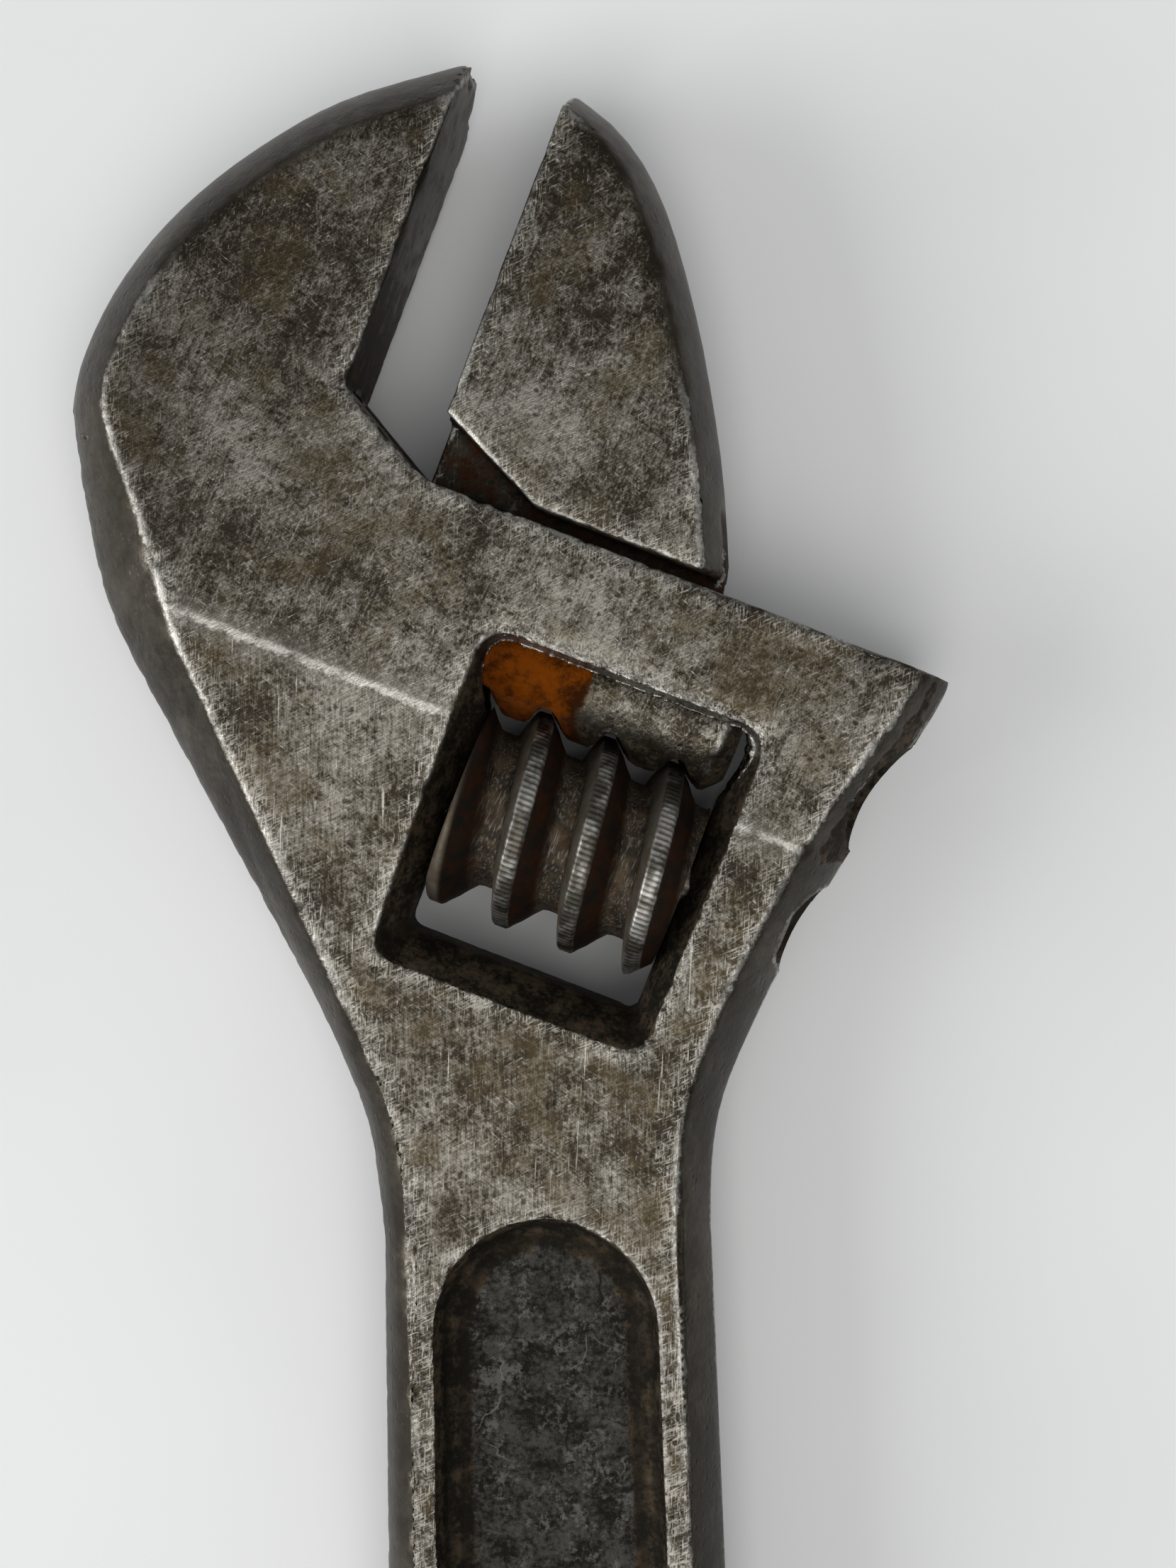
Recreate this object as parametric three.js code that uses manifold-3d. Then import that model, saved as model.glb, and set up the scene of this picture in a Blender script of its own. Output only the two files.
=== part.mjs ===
// Adjustable wrench: a forged frame with a fixed jaw, a sliding jaw with a round rack bar, and a
// knurled adjusting worm that turns on a screw pin, with a small coil spring behind the worm.
// Millimetres, +Z up. The handle runs along Y and the wrench lies flat on its back.
//
// Two frames are used. The handle frame has its zero where the slide rail crosses the handle's
// centre line. The head frame has the same zero and is turned by JAW_ANGLE: s runs along the rail,
// away from the fixed jaw, and q runs square to the rail, towards the jaw tips.

import * as THREE from 'three';
import { mergeVertices } from 'three/addons/utils/BufferGeometryUtils.js';
import { ConvexGeometry } from 'three/addons/geometries/ConvexGeometry.js';
import { ParametricGeometry } from 'three/addons/geometries/ParametricGeometry.js';
import Module from 'manifold-3d';

const wasm = await Module();
wasm.setup();

// ---- driving dimensions ----

// whole tool
const OVERALL_LENGTH = 305;
const JAW_TIP_HEIGHT = 41.8; // fixed jaw tip above the rail's crossing, along the handle
const JAW_ANGLE = THREE.MathUtils.degToRad(22.5);

// forged frame
const HEAD_THICKNESS = 16.5;
const HANDLE_THICKNESS = 12.6;
const NECK_WIDTH = 30.7;
const HANDLE_END_WIDTH = 37;
const FORGING_DRAFT = 4.4; // how far the sides pull in from the parting line to the faces
const PARTING_LAND = 0.8;
const HEEL = { x: -35.5, y: -3.5, reach: 17, direction: THREE.MathUtils.degToRad(18), depth: 2.2 };
const CREASE_DEPTH = 18.9; // below the rail, where the head's face starts to slope to the handle
const NECK_TAPER_LENGTH = 36;
const FIXED_FACE = -19; // s of the fixed jaw's working face
const TIP_CHAMFER = { length: 1.6, depth: 4, rise: 2.2 };
const THROAT_RISE = 5.3;
const THROAT_RUN = 9.6;
const THROAT_BLEND = { before: 1.4, after: 0.6, height: 0.6 };
const SHOULDER = [44, 9]; // corner of the blank past the slide, in the head frame

// parting line of the head, in the handle frame
const RIGHT_NECK = [[17.4, -52], [21.5, -43.4]];
const RIGHT_SIDE = [[25.7, -36.4], [30.6, -28.9], [36.6, -20.9], [39, -17.2]];
const BLANK_TIP = { x: 2, drop: 0.3 }; // cut away with the jaws' gap
const FIXED_JAW_TIP = -5;
const FIXED_JAW_BACK = [
  [-14.8, 39.4],
  [-21.4, 36.4],
  [-28.3, 32],
  [-33.6, 27.3],
  [-37.9, 21.9],
  [-40.9, 16],
  [-42, 11.4],
];
const LEFT_SIDE = [[-41.7, 7.2], [-41.2, 3.2], [-40.5, -1.4]];
const HEEL_CORNER = [-39.9, -6.4];
const HEEL_END = [-37.2, -11.7];
const LEFT_NECK = [[-21.1, -43.8], [-18.7, -49.3], [-16.4, -56.2]];
const NECK_BLEND = { width: 0.4, y: -58.3 };

// handle details
const RECESS_TOP = -64;
const RECESS_DEPTH = 3.3;
const RECESS_WALL_SLOPE = 2.2;
const RIM_WIDTH = 5.2; // from the parting line to the recess
const RECESS_END_INSET = 1; // the recess narrows at the hang hole's end
const STRAIGHT_SIDES_TOP = 2; // the handle's straight sides end this far below the recess
const HANG_HOLE_RADIUS = 5.5;
const HANG_HOLE_SETBACK = 16.5;
const RECESS_TO_HOLE = 12;

// slide
const BAR_RADIUS = 5.8;
const BAR_DEPTH = 11.7; // bar's axis below the rail
const BAR_END_OVERHANG = 6; // bar past the web, away from the fixed jaw
const WEB_THICKNESS = 5.8;
const SLIDE_CLEARANCE = 0.15;
const SLOT_CLEARANCE = 0.3;
const FOOT_GAP = 1.1;
const SLIDE_END_GAP = 0.6;
const BAR_SETBACK = 0.3; // web and bar start this far behind the working face

// sliding jaw
const JAW_OPENING = 9.2;
const CLOSED_GAP = 0.3;
const JAW_STEP = 0.15; // how far the sliding jaw's faces stand below the head's
const JAW_DRAFT = 2.6;
const JAW_BASE_LENGTH = 29.2;
const JAW_FOOT = { rise: 6.2, run: 10.6 }; // slanted cut under the jaw, next to the throat
const JAW_BACK = [[25.4, 9.8], [21.7, 16.5], [17.6, 23], [13, 29.3], [9, 33.5], [4.7, 36.3], [0, 37.8]];
const JAW_BACK_FOOT = { lean: 1.6, inset: 0.6, height: 2.8 };
const JAW_BACK_TOP = 39;
const BAR_NEAR_CHAMFER = 0.8;
const BAR_FAR_CHAMFER = 1.6;
const WEB_TOP = 7; // above the jaw's foot, buried in the jaw
const WEB_BACK = { inset: 0.2, rise: 0.6, step: 1.4, shoulder: 2.4, reach: 12 };

// adjusting worm
const WORM_RADIUS = 10.1;
const WORM_LENGTH = 22.1;
const WORM_START = 3.2; // s of the end nearest the fixed jaw
const THREAD_PITCH = 6.4;
const THREAD_DEPTH = 3.05;
const CREST_WIDTH = 1.6;
const STEEP_FLANK = 0.8;
const LONG_FLANK = 2.4;
const CREST_PHASE = 7.9; // s of a crest on the rack side
const RACK_TOP_CLEARANCE = 1.2;
const RACK_FLANK_CLEARANCE = 0.35;
const TOOTH_TIP_CLEARANCE = 1.35;
const WORM_END_PLAY = 0.25;
const WORM_NEAR_CHAMFER = 0.5;
const WORM_FAR_CHAMFER = 1.8;

// window around the worm
const WINDOW_TOP = 10.6;
const WINDOW_FINGER_GAP = 2.8;
const WINDOW_FLARE = { near: 2.6, far: 1.6, bottom: 3.5, top: 1.4 };
const WINDOW_CORNER = 1.1;
const WINDOW_LAND = 2.5; // half height of the straight part of the window's walls

// screw pin and spring
const PIN_RADIUS = 2.3;
const PIN_HEAD_RADIUS = 4.2;
const PIN_HEAD_LENGTH = 3.4;
const PIN_SLOT = { width: 1.2, depth: 1.1 };
const PIN_TIP_CHAMFER = 0.5;
const PIN_HEAD_CHAMFER = 0.6;
const PIN_THREAD_LENGTH = 9;
const SHOULDER_WALL = 6.4; // between the window and the pin's counterbore
const RUNNING_CLEARANCE = 0.08;
const SEAT_GAP = 0.3;
const SPRING_WIRE = 0.9;
const SPRING_LENGTH = 5.2;
const SPRING_TURNS = 3.5;

// fineness of the round surfaces
const TURNED_SIDES = 36;
const PIN_SIDES = 28;
const SMALL_BORE_SIDES = 24;
const HANG_HOLE_SIDES = 32;
const STEPS_PER_TURN = 24;
const SPRING_STEPS = 56;
const CORNER_STEPS = 3;

// ---- sizes that follow ----

const halfHead = HEAD_THICKNESS / 2;
const halfHandle = HANDLE_THICKNESS / 2;
const handleEnd = JAW_TIP_HEIGHT - OVERALL_LENGTH;
const endRadius = HANDLE_END_WIDTH / 2;
const rootRadius = WORM_RADIUS - THREAD_DEPTH;
const wormDepth = BAR_DEPTH + BAR_RADIUS + TOOTH_TIP_CLEARANCE + rootRadius;
const wormEnd = WORM_START + WORM_LENGTH;
const windowNear = WORM_START - WORM_END_PLAY;
const windowFar = wormEnd + WORM_END_PLAY;
const windowBottom = wormDepth + WORM_RADIUS + WINDOW_FINGER_GAP;
const movingFace = FIXED_FACE + JAW_OPENING;
const boreRadius = BAR_RADIUS + SLIDE_CLEARANCE;
const slideStart = FIXED_FACE + CLOSED_GAP - SLIDE_END_GAP;
const barEnd = movingFace + JAW_BASE_LENGTH + BAR_END_OVERHANG;
const pinHeadSeat = windowFar + SHOULDER_WALL;
const springRadius = PIN_RADIUS + SEAT_GAP + SPRING_WIRE / 2;
const springPocket = springRadius + SPRING_WIRE / 2 + SEAT_GAP;
const FAR = 400; // beyond any surface of the wrench
const PAST_HEAD = 80; // beyond the head, along the rail
const OVERLAP = 1; // cutters reach this far past what they cut

function steel(color, roughness, metalness) {
  return new THREE.MeshStandardMaterial({ color, roughness, metalness });
}

// ---- solids ----

/** Widens the leaning side at the heel of the head, by moving the face's edge in over a round patch. */
function widenHeel(geometry) {
  const position = geometry.attributes.position;
  const inward = new THREE.Vector2(1, 0).rotateAround(new THREE.Vector2(), HEEL.direction);
  for (let i = 0; i < position.count; i += 1) {
    const atFace = Math.abs(position.getZ(i)) > halfHead - 0.01;
    const away = Math.hypot(position.getX(i) - HEEL.x, position.getY(i) - HEEL.y) / HEEL.reach;
    const share = atFace ? THREE.MathUtils.smoothstep(1 - away, 0, 1) * HEEL.depth : 0;
    position.setXY(i, position.getX(i) + inward.x * share, position.getY(i) + inward.y * share);
  }
  return geometry;
}

/** Closed three.js geometry as a manifold solid. */
function solid(geometry) {
  const bare = geometry.clone();
  for (const name of Object.keys(bare.attributes)) {
    if (name !== 'position') bare.deleteAttribute(name);
  }
  const merged = mergeVertices(bare, 1e-4);
  const corners = merged.index.array;
  const kept = [];
  for (let i = 0; i < corners.length; i += 3) {
    const [a, b, c] = [corners[i], corners[i + 1], corners[i + 2]];
    if (a !== b && b !== c && c !== a) kept.push(a, b, c);
  }
  return new wasm.Manifold(new wasm.Mesh({
    numProp: 3,
    vertProperties: Float32Array.from(merged.attributes.position.array),
    triVerts: Uint32Array.from(kept),
  }));
}

/** Manifold solid as a three.js geometry with flat facets. */
function faceted(body) {
  const mesh = body.getMesh();
  const geometry = new THREE.BufferGeometry();
  geometry.setAttribute('position', new THREE.BufferAttribute(new Float32Array(mesh.vertProperties), 3));
  geometry.setIndex(new THREE.BufferAttribute(new Uint32Array(mesh.triVerts), 1));
  geometry.computeVertexNormals();
  return geometry;
}

/** Point of the head frame, in the handle frame. */
function onHead(s, q) {
  return new THREE.Vector2(s, q).rotateAround(new THREE.Vector2(), -JAW_ANGLE);
}

/** Geometry drawn in the head frame, turned into the handle frame. */
function turned(geometry) {
  return geometry.rotateZ(-JAW_ANGLE);
}

/** Straight prism over a shape, past both faces. */
function prism(shape, height = FAR) {
  const geometry = new THREE.ExtrudeGeometry(shape, { depth: height, bevelEnabled: false });
  return geometry.translate(0, 0, -height / 2);
}

/** Forged slab: the shape is the parting line at mid thickness, and the sides lean in to both faces. */
function forging(shape, thickness, draft, segments) {
  const geometry = new THREE.ExtrudeGeometry(shape, {
    depth: PARTING_LAND,
    bevelThickness: (thickness - PARTING_LAND) / 2,
    bevelSize: draft,
    bevelOffset: -draft,
    bevelSegments: 1,
    curveSegments: segments,
  });
  return geometry.translate(0, 0, -PARTING_LAND / 2);
}

/** Round bar along s, from start to end, at the given depth below the rail. */
function alongRail(radius, start, end, depth, sides) {
  const bar = new THREE.CylinderGeometry(radius, radius, end - start, sides);
  return bar.rotateZ(-Math.PI / 2).translate((start + end) / 2, -depth, 0);
}

/** Turned piece on an axis along s: profile points are (s, radius). */
function turnedPart(profile, depth, sides) {
  const points = profile.map(([s, radius]) => new THREE.Vector2(radius, s));
  const lathe = new THREE.LatheGeometry(points, sides);
  return lathe.rotateZ(-Math.PI / 2).translate(0, -depth, 0);
}

/** Block in the head frame between two corners. */
function block(s0, s1, q0, q1, height) {
  return new THREE.BoxGeometry(s1 - s0, q1 - q0, height).translate((s0 + s1) / 2, (q0 + q1) / 2, 0);
}

/** Shape with straight sides through points. */
function polygon(points) {
  return new THREE.Shape(points.map(([x, y]) => new THREE.Vector2(x, y)));
}

const pair = ([x, y]) => new THREE.Vector2(x, y);

// ---- adjusting worm ----

/**
 * Thread ridge as a closed helical body that tapers away at both ends.
 * Section points are (s offset, radius).
 */
function threadRidge(section, from, to) {
  const turns = (to - from) / THREAD_PITCH;
  const steps = Math.ceil(turns * STEPS_PER_TURN);
  const middle = section.reduce((sum, [, radius]) => sum + radius, 0) / section.length;
  const place = (u, v, target) => {
    const index = Math.round(u * section.length) % section.length;
    const atTip = v === 0 || v === 1;
    const [offset, radius] = atTip ? [0, middle] : section[index];
    const s = from + v * (to - from);
    const angle = ((s - CREST_PHASE) / THREAD_PITCH) * 2 * Math.PI;
    target.set(s + offset, radius * Math.cos(angle) - wormDepth, radius * Math.sin(angle));
  };
  return new ParametricGeometry(place, section.length, steps);
}

/** Section of the thread from its foot to its crest, or of the rack's groove with its gaps. */
function threadSection(flankGap, topGap, foot) {
  const half = CREST_WIDTH / 2;
  const footRise = (foot - rootRadius) / THREAD_DEPTH;
  const near = half + STEEP_FLANK * (1 - footRise) + flankGap;
  const far = half + LONG_FLANK * (1 - footRise) + flankGap;
  const topRise = topGap / THREAD_DEPTH;
  return [
    [-near, foot],
    [far, foot],
    [half + flankGap - LONG_FLANK * topRise, WORM_RADIUS + topGap],
    [-half - flankGap + STEEP_FLANK * topRise, WORM_RADIUS + topGap],
  ];
}

function adjustingWorm() {
  const envelope = turnedPart([
    [WORM_START, 0],
    [WORM_START, WORM_RADIUS - WORM_NEAR_CHAMFER],
    [WORM_START + WORM_NEAR_CHAMFER, WORM_RADIUS],
    [wormEnd - WORM_FAR_CHAMFER, WORM_RADIUS],
    [wormEnd, WORM_RADIUS - WORM_FAR_CHAMFER],
    [wormEnd, 0],
  ], wormDepth, TURNED_SIDES);
  const section = threadSection(0, 0, rootRadius - OVERLAP);
  const ridge = threadRidge(section, WORM_START - THREAD_PITCH, wormEnd + THREAD_PITCH);
  const core = alongRail(rootRadius, WORM_START, wormEnd, wormDepth, TURNED_SIDES);
  const boreEnds = [WORM_START - OVERLAP, wormEnd + OVERLAP];
  const bore = alongRail(PIN_RADIUS + RUNNING_CLEARANCE, ...boreEnds, wormDepth, TURNED_SIDES);
  const pocketBottom = wormEnd - SPRING_LENGTH - SEAT_GAP;
  const pocket = alongRail(springPocket, pocketBottom, wormEnd + OVERLAP, wormDepth, SMALL_BORE_SIDES);
  const threaded = solid(envelope).intersect(solid(ridge)).add(solid(core));
  return faceted(threaded.subtract(solid(bore)).subtract(solid(pocket)));
}

// ---- sliding jaw ----

/** Solid plate of the jaw: leaning sides on its back, square-cut working face and foot. */
function jawPlate() {
  const outline = new THREE.Shape();
  const margin = JAW_DRAFT + 3;
  outline.moveTo(-margin, -margin);
  outline.lineTo(JAW_BASE_LENGTH + JAW_BACK_FOOT.lean, -margin);
  outline.lineTo(JAW_BASE_LENGTH - JAW_BACK_FOOT.inset, JAW_BACK_FOOT.height);
  outline.splineThru(JAW_BACK.map(pair));
  outline.lineTo(-margin, JAW_BACK_TOP);
  const trim = polygon([
    [0, JAW_FOOT.rise],
    [JAW_FOOT.run, FOOT_GAP],
    [PAST_HEAD, FOOT_GAP],
    [PAST_HEAD, PAST_HEAD],
    [0, PAST_HEAD],
  ]);
  const plate = solid(forging(outline, HEAD_THICKNESS - 2 * JAW_STEP, JAW_DRAFT, 2));
  return plate.intersect(solid(prism(trim))).translate([movingFace, 0, 0]);
}

function slidingJaw() {
  const start = movingFace + BAR_SETBACK;
  const webEnd = movingFace + JAW_BASE_LENGTH - WEB_BACK.inset;
  const bar = turnedPart([
    [start, 0],
    [start, BAR_RADIUS - BAR_NEAR_CHAMFER],
    [start + BAR_NEAR_CHAMFER, BAR_RADIUS],
    [barEnd - BAR_FAR_CHAMFER, BAR_RADIUS],
    [barEnd, BAR_RADIUS - BAR_FAR_CHAMFER],
    [barEnd, 0],
  ], BAR_DEPTH, TURNED_SIDES);
  const web = prism(polygon([
    [start, -BAR_DEPTH],
    [webEnd, -BAR_DEPTH],
    [webEnd, WEB_BACK.rise],
    [webEnd - WEB_BACK.step, FOOT_GAP + WEB_BACK.shoulder],
    [webEnd - WEB_BACK.reach, FOOT_GAP + WEB_TOP],
    [start, FOOT_GAP + WEB_TOP],
  ]), WEB_THICKNESS);
  const groove = threadSection(RACK_FLANK_CLEARANCE, RACK_TOP_CLEARANCE, rootRadius);
  const cutter = threadRidge(groove, movingFace - THREAD_PITCH, barEnd + THREAD_PITCH);
  return faceted(jawPlate().add(solid(web)).add(solid(bar)).subtract(solid(cutter)));
}

// ---- forged frame ----

/** Parting line of the forging, left long on the jaw side for the opening's cut. */
function frameOutline() {
  const half = NECK_WIDTH / 2;
  const neck = RECESS_TOP - STRAIGHT_SIDES_TOP;
  const endCentre = handleEnd + endRadius;
  const outline = new THREE.Shape();
  outline.moveTo(endRadius, endCentre);
  outline.lineTo(half, neck);
  outline.splineThru([[half + NECK_BLEND.width, NECK_BLEND.y], ...RIGHT_NECK].map(pair));
  outline.splineThru(RIGHT_SIDE.map(pair));
  const shoulder = onHead(...SHOULDER);
  outline.lineTo(shoulder.x, shoulder.y);
  outline.lineTo(BLANK_TIP.x, JAW_TIP_HEIGHT - BLANK_TIP.drop);
  outline.lineTo(FIXED_JAW_TIP, JAW_TIP_HEIGHT);
  outline.splineThru(FIXED_JAW_BACK.map(pair));
  outline.splineThru(LEFT_SIDE.map(pair));
  outline.quadraticCurveTo(...HEEL_CORNER, ...HEEL_END);
  outline.lineTo(...LEFT_NECK[0]);
  outline.splineThru([...LEFT_NECK.slice(1), [-half, neck]].map(pair));
  outline.lineTo(-endRadius, endCentre);
  outline.absarc(0, endCentre, endRadius, Math.PI, 2 * Math.PI, false);
  return outline;
}

/** What is taken off one face: a slope from the crease down the neck, then a flat over the handle. */
function neckCut(side) {
  const profile = polygon([
    [CREASE_DEPTH, halfHead],
    [CREASE_DEPTH + NECK_TAPER_LENGTH, halfHandle],
    [FAR, halfHandle],
    [FAR, FAR],
    [CREASE_DEPTH, FAR],
  ]);
  const cutter = prism(profile).rotateX(Math.PI / 2).rotateZ(-Math.PI / 2);
  if (side < 0) cutter.rotateY(Math.PI);
  return solid(turned(cutter));
}

/** Gap between the jaws, cut square through the head. */
function jawGap() {
  const tip = JAW_TIP_HEIGHT / Math.cos(JAW_ANGLE) + FIXED_FACE * Math.tan(JAW_ANGLE);
  return turned(prism(polygon([
    [FIXED_FACE - TIP_CHAMFER.depth, FAR],
    [FIXED_FACE - TIP_CHAMFER.depth, tip + TIP_CHAMFER.rise],
    [FIXED_FACE, tip - TIP_CHAMFER.length],
    [FIXED_FACE, THROAT_RISE],
    [FIXED_FACE + THROAT_RUN - THROAT_BLEND.before, THROAT_BLEND.height],
    [FIXED_FACE + THROAT_RUN + THROAT_BLEND.after, 0],
    [FAR, 0],
    [FAR, FAR],
  ])));
}

/** Corner points of a rounded rectangle at one height. */
function roundedLevel(s0, s1, q0, q1, radius, z) {
  const points = [];
  const corners = [
    [s1 - radius, q1 - radius, 0],
    [s0 + radius, q1 - radius, 1],
    [s0 + radius, q0 + radius, 2],
    [s1 - radius, q0 + radius, 3],
  ];
  for (const [s, q, quarter] of corners) {
    for (let step = 0; step <= CORNER_STEPS; step += 1) {
      const angle = (quarter + step / CORNER_STEPS) * (Math.PI / 2);
      points.push(new THREE.Vector3(s + radius * Math.cos(angle), q + radius * Math.sin(angle), z));
    }
  }
  return points;
}

/** Window through the head for the worm: straight at mid thickness, flared to both faces. */
function wormWindow() {
  const top = WINDOW_TOP + WINDOW_FLARE.top;
  const level = (share, z) => roundedLevel(
    windowNear - WINDOW_FLARE.near * share,
    windowFar + WINDOW_FLARE.far * share,
    -windowBottom - WINDOW_FLARE.bottom * share,
    -top + WINDOW_FLARE.top * share,
    WINDOW_CORNER + share,
    z,
  );
  const outside = halfHead + OVERLAP;
  const past = 1 + OVERLAP / (halfHead - WINDOW_LAND);
  const straight = new ConvexGeometry([...level(0, outside), ...level(0, -outside)]);
  let cut = solid(turned(straight));
  for (const side of [1, -1]) {
    const flare = new ConvexGeometry([...level(0, side * WINDOW_LAND), ...level(past, side * outside)]);
    cut = cut.add(solid(turned(flare)));
  }
  return cut;
}

/** Keyhole channel for the sliding jaw's web and bar. */
function slideChannel() {
  const width = WEB_THICKNESS + 2 * SLOT_CLEARANCE;
  const bore = alongRail(boreRadius, slideStart, PAST_HEAD, BAR_DEPTH, TURNED_SIDES);
  const slot = block(slideStart, PAST_HEAD, -BAR_DEPTH, THROAT_RISE, width);
  return solid(turned(bore)).add(solid(turned(slot)));
}

/** Pin hole across the window, with the counterbore for the pin's head. */
function pinHole() {
  const bottom = WORM_START - PIN_THREAD_LENGTH - OVERLAP;
  const hole = alongRail(PIN_RADIUS + SEAT_GAP, bottom, PAST_HEAD, wormDepth, SMALL_BORE_SIDES);
  const seat = alongRail(PIN_HEAD_RADIUS + SEAT_GAP, pinHeadSeat, PAST_HEAD, wormDepth, PIN_SIDES);
  return solid(turned(hole)).add(solid(turned(seat)));
}

/** Long recess with round ends in one face of the handle, its walls sloping to the floor. */
function handleRecess(side) {
  const topRadius = NECK_WIDTH / 2 - RIM_WIDTH;
  const lowRadius = endRadius - RIM_WIDTH - RECESS_END_INSET;
  const topCentre = RECESS_TOP - topRadius;
  const lowEnd = handleEnd + HANG_HOLE_SETBACK + HANG_HOLE_RADIUS + RECESS_TO_HOLE;
  const rim = new THREE.Shape();
  rim.absarc(0, topCentre, topRadius, 0, Math.PI, false);
  rim.absarc(0, lowEnd + lowRadius, lowRadius, Math.PI, 2 * Math.PI, false);
  const cutter = new THREE.ExtrudeGeometry(rim, {
    depth: HANDLE_THICKNESS,
    bevelThickness: RECESS_DEPTH,
    bevelSize: RECESS_WALL_SLOPE,
    bevelOffset: -RECESS_WALL_SLOPE,
    bevelSegments: 2,
    curveSegments: 10,
  });
  cutter.translate(0, 0, halfHandle);
  if (side < 0) cutter.rotateY(Math.PI);
  return solid(cutter);
}

function forgedFrame() {
  const size = [HANG_HOLE_RADIUS, HANG_HOLE_RADIUS, PAST_HEAD, HANG_HOLE_SIDES];
  const hole = new THREE.CylinderGeometry(...size).rotateX(Math.PI / 2);
  hole.translate(0, handleEnd + HANG_HOLE_SETBACK, 0);
  const slab = solid(widenHeel(forging(frameOutline(), HEAD_THICKNESS, FORGING_DRAFT, 3)));
  const cuts = [
    neckCut(1),
    neckCut(-1),
    solid(jawGap()),
    wormWindow(),
    slideChannel(),
    pinHole(),
    handleRecess(1),
    handleRecess(-1),
    solid(hole),
  ];
  return faceted(cuts.reduce((body, cut) => body.subtract(cut), slab));
}

// ---- pin and spring ----

function screwPin() {
  const tip = WORM_START - PIN_THREAD_LENGTH;
  const seat = pinHeadSeat + SEAT_GAP;
  const head = seat + PIN_HEAD_LENGTH;
  const turnedPin = turnedPart([
    [tip, 0],
    [tip, PIN_RADIUS - PIN_TIP_CHAMFER],
    [tip + PIN_TIP_CHAMFER, PIN_RADIUS],
    [seat, PIN_RADIUS],
    [seat, PIN_HEAD_RADIUS],
    [head - PIN_HEAD_CHAMFER, PIN_HEAD_RADIUS],
    [head, PIN_HEAD_RADIUS - PIN_HEAD_CHAMFER],
    [head, 0],
  ], wormDepth, PIN_SIDES);
  const slotEnds = [-wormDepth - 2 * PIN_HEAD_RADIUS, -wormDepth + 2 * PIN_HEAD_RADIUS];
  const slot = block(head - PIN_SLOT.depth, head + OVERLAP, ...slotEnds, PIN_SLOT.width);
  return faceted(solid(turnedPin).subtract(solid(slot)));
}

class SpringLine extends THREE.Curve {
  getPoint(share, target = new THREE.Vector3()) {
    const travel = SPRING_LENGTH - SPRING_WIRE - SEAT_GAP;
    const start = windowFar - SPRING_LENGTH + SPRING_WIRE / 2;
    const angle = share * SPRING_TURNS * 2 * Math.PI;
    return target.set(
      start + share * travel,
      springRadius * Math.cos(angle) - wormDepth,
      springRadius * Math.sin(angle),
    );
  }
}

function wormSpring() {
  const wire = new THREE.Shape();
  wire.absarc(0, 0, SPRING_WIRE / 2, 0, 2 * Math.PI, false);
  const path = { extrudePath: new SpringLine(), steps: SPRING_STEPS, curveSegments: 3 };
  return faceted(solid(new THREE.ExtrudeGeometry(wire, path)));
}

// ---- assembly ----

function named(name, geometry, material) {
  const mesh = new THREE.Mesh(geometry, material);
  mesh.name = name;
  return mesh;
}

const frame = named('forged_frame', forgedFrame(), steel(0x77736b, 0.48, 0.9));
const head = new THREE.Group();
head.rotation.z = -JAW_ANGLE;
head.add(
  named('sliding_jaw', slidingJaw(), steel(0x6f6b64, 0.5, 0.9)),
  named('adjusting_worm', adjustingWorm(), steel(0x6a5f52, 0.45, 0.85)),
  named('worm_pin', screwPin(), steel(0x5d5850, 0.5, 0.85)),
  named('worm_spring', wormSpring(), steel(0x55524d, 0.5, 0.85)),
);

const wrench = new THREE.Group();
wrench.add(frame, head);
wrench.updateMatrixWorld(true);
const extent = new THREE.Box3().setFromObject(wrench, true);
wrench.position.set(
  -(extent.min.x + extent.max.x) / 2,
  -(extent.min.y + extent.max.y) / 2,
  -extent.min.z,
);

export default wrench;
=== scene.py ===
"""Adjustable wrench: finer meshes and worn steel finishes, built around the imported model."""

import logging
import math
import random
from dataclasses import dataclass, field
from enum import Enum
from typing import Callable, ClassVar, Iterable

import bmesh
import bpy
from mathutils import Euler, Matrix, Vector, kdtree, noise


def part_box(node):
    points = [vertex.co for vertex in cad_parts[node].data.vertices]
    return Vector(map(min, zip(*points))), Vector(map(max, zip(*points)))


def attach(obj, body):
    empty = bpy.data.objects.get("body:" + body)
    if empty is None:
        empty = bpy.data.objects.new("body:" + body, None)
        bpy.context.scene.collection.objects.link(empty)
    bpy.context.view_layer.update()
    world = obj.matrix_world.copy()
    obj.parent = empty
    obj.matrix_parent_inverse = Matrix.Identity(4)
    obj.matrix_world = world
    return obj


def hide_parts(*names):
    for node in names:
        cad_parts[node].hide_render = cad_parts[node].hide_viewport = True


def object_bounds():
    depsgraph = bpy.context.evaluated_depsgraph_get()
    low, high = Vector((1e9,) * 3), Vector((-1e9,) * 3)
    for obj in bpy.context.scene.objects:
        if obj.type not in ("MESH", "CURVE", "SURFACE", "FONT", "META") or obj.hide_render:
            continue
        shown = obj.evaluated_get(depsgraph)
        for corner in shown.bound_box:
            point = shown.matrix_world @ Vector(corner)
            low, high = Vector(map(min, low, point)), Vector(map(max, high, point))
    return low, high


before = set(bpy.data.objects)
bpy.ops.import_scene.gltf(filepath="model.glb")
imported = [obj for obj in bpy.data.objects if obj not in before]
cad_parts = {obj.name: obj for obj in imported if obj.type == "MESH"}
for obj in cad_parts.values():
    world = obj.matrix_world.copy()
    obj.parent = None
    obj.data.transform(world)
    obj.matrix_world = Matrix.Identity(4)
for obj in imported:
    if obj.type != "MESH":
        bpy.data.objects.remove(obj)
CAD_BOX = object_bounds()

LOG = logging.getLogger("wrench")
MM = 0.001
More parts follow.
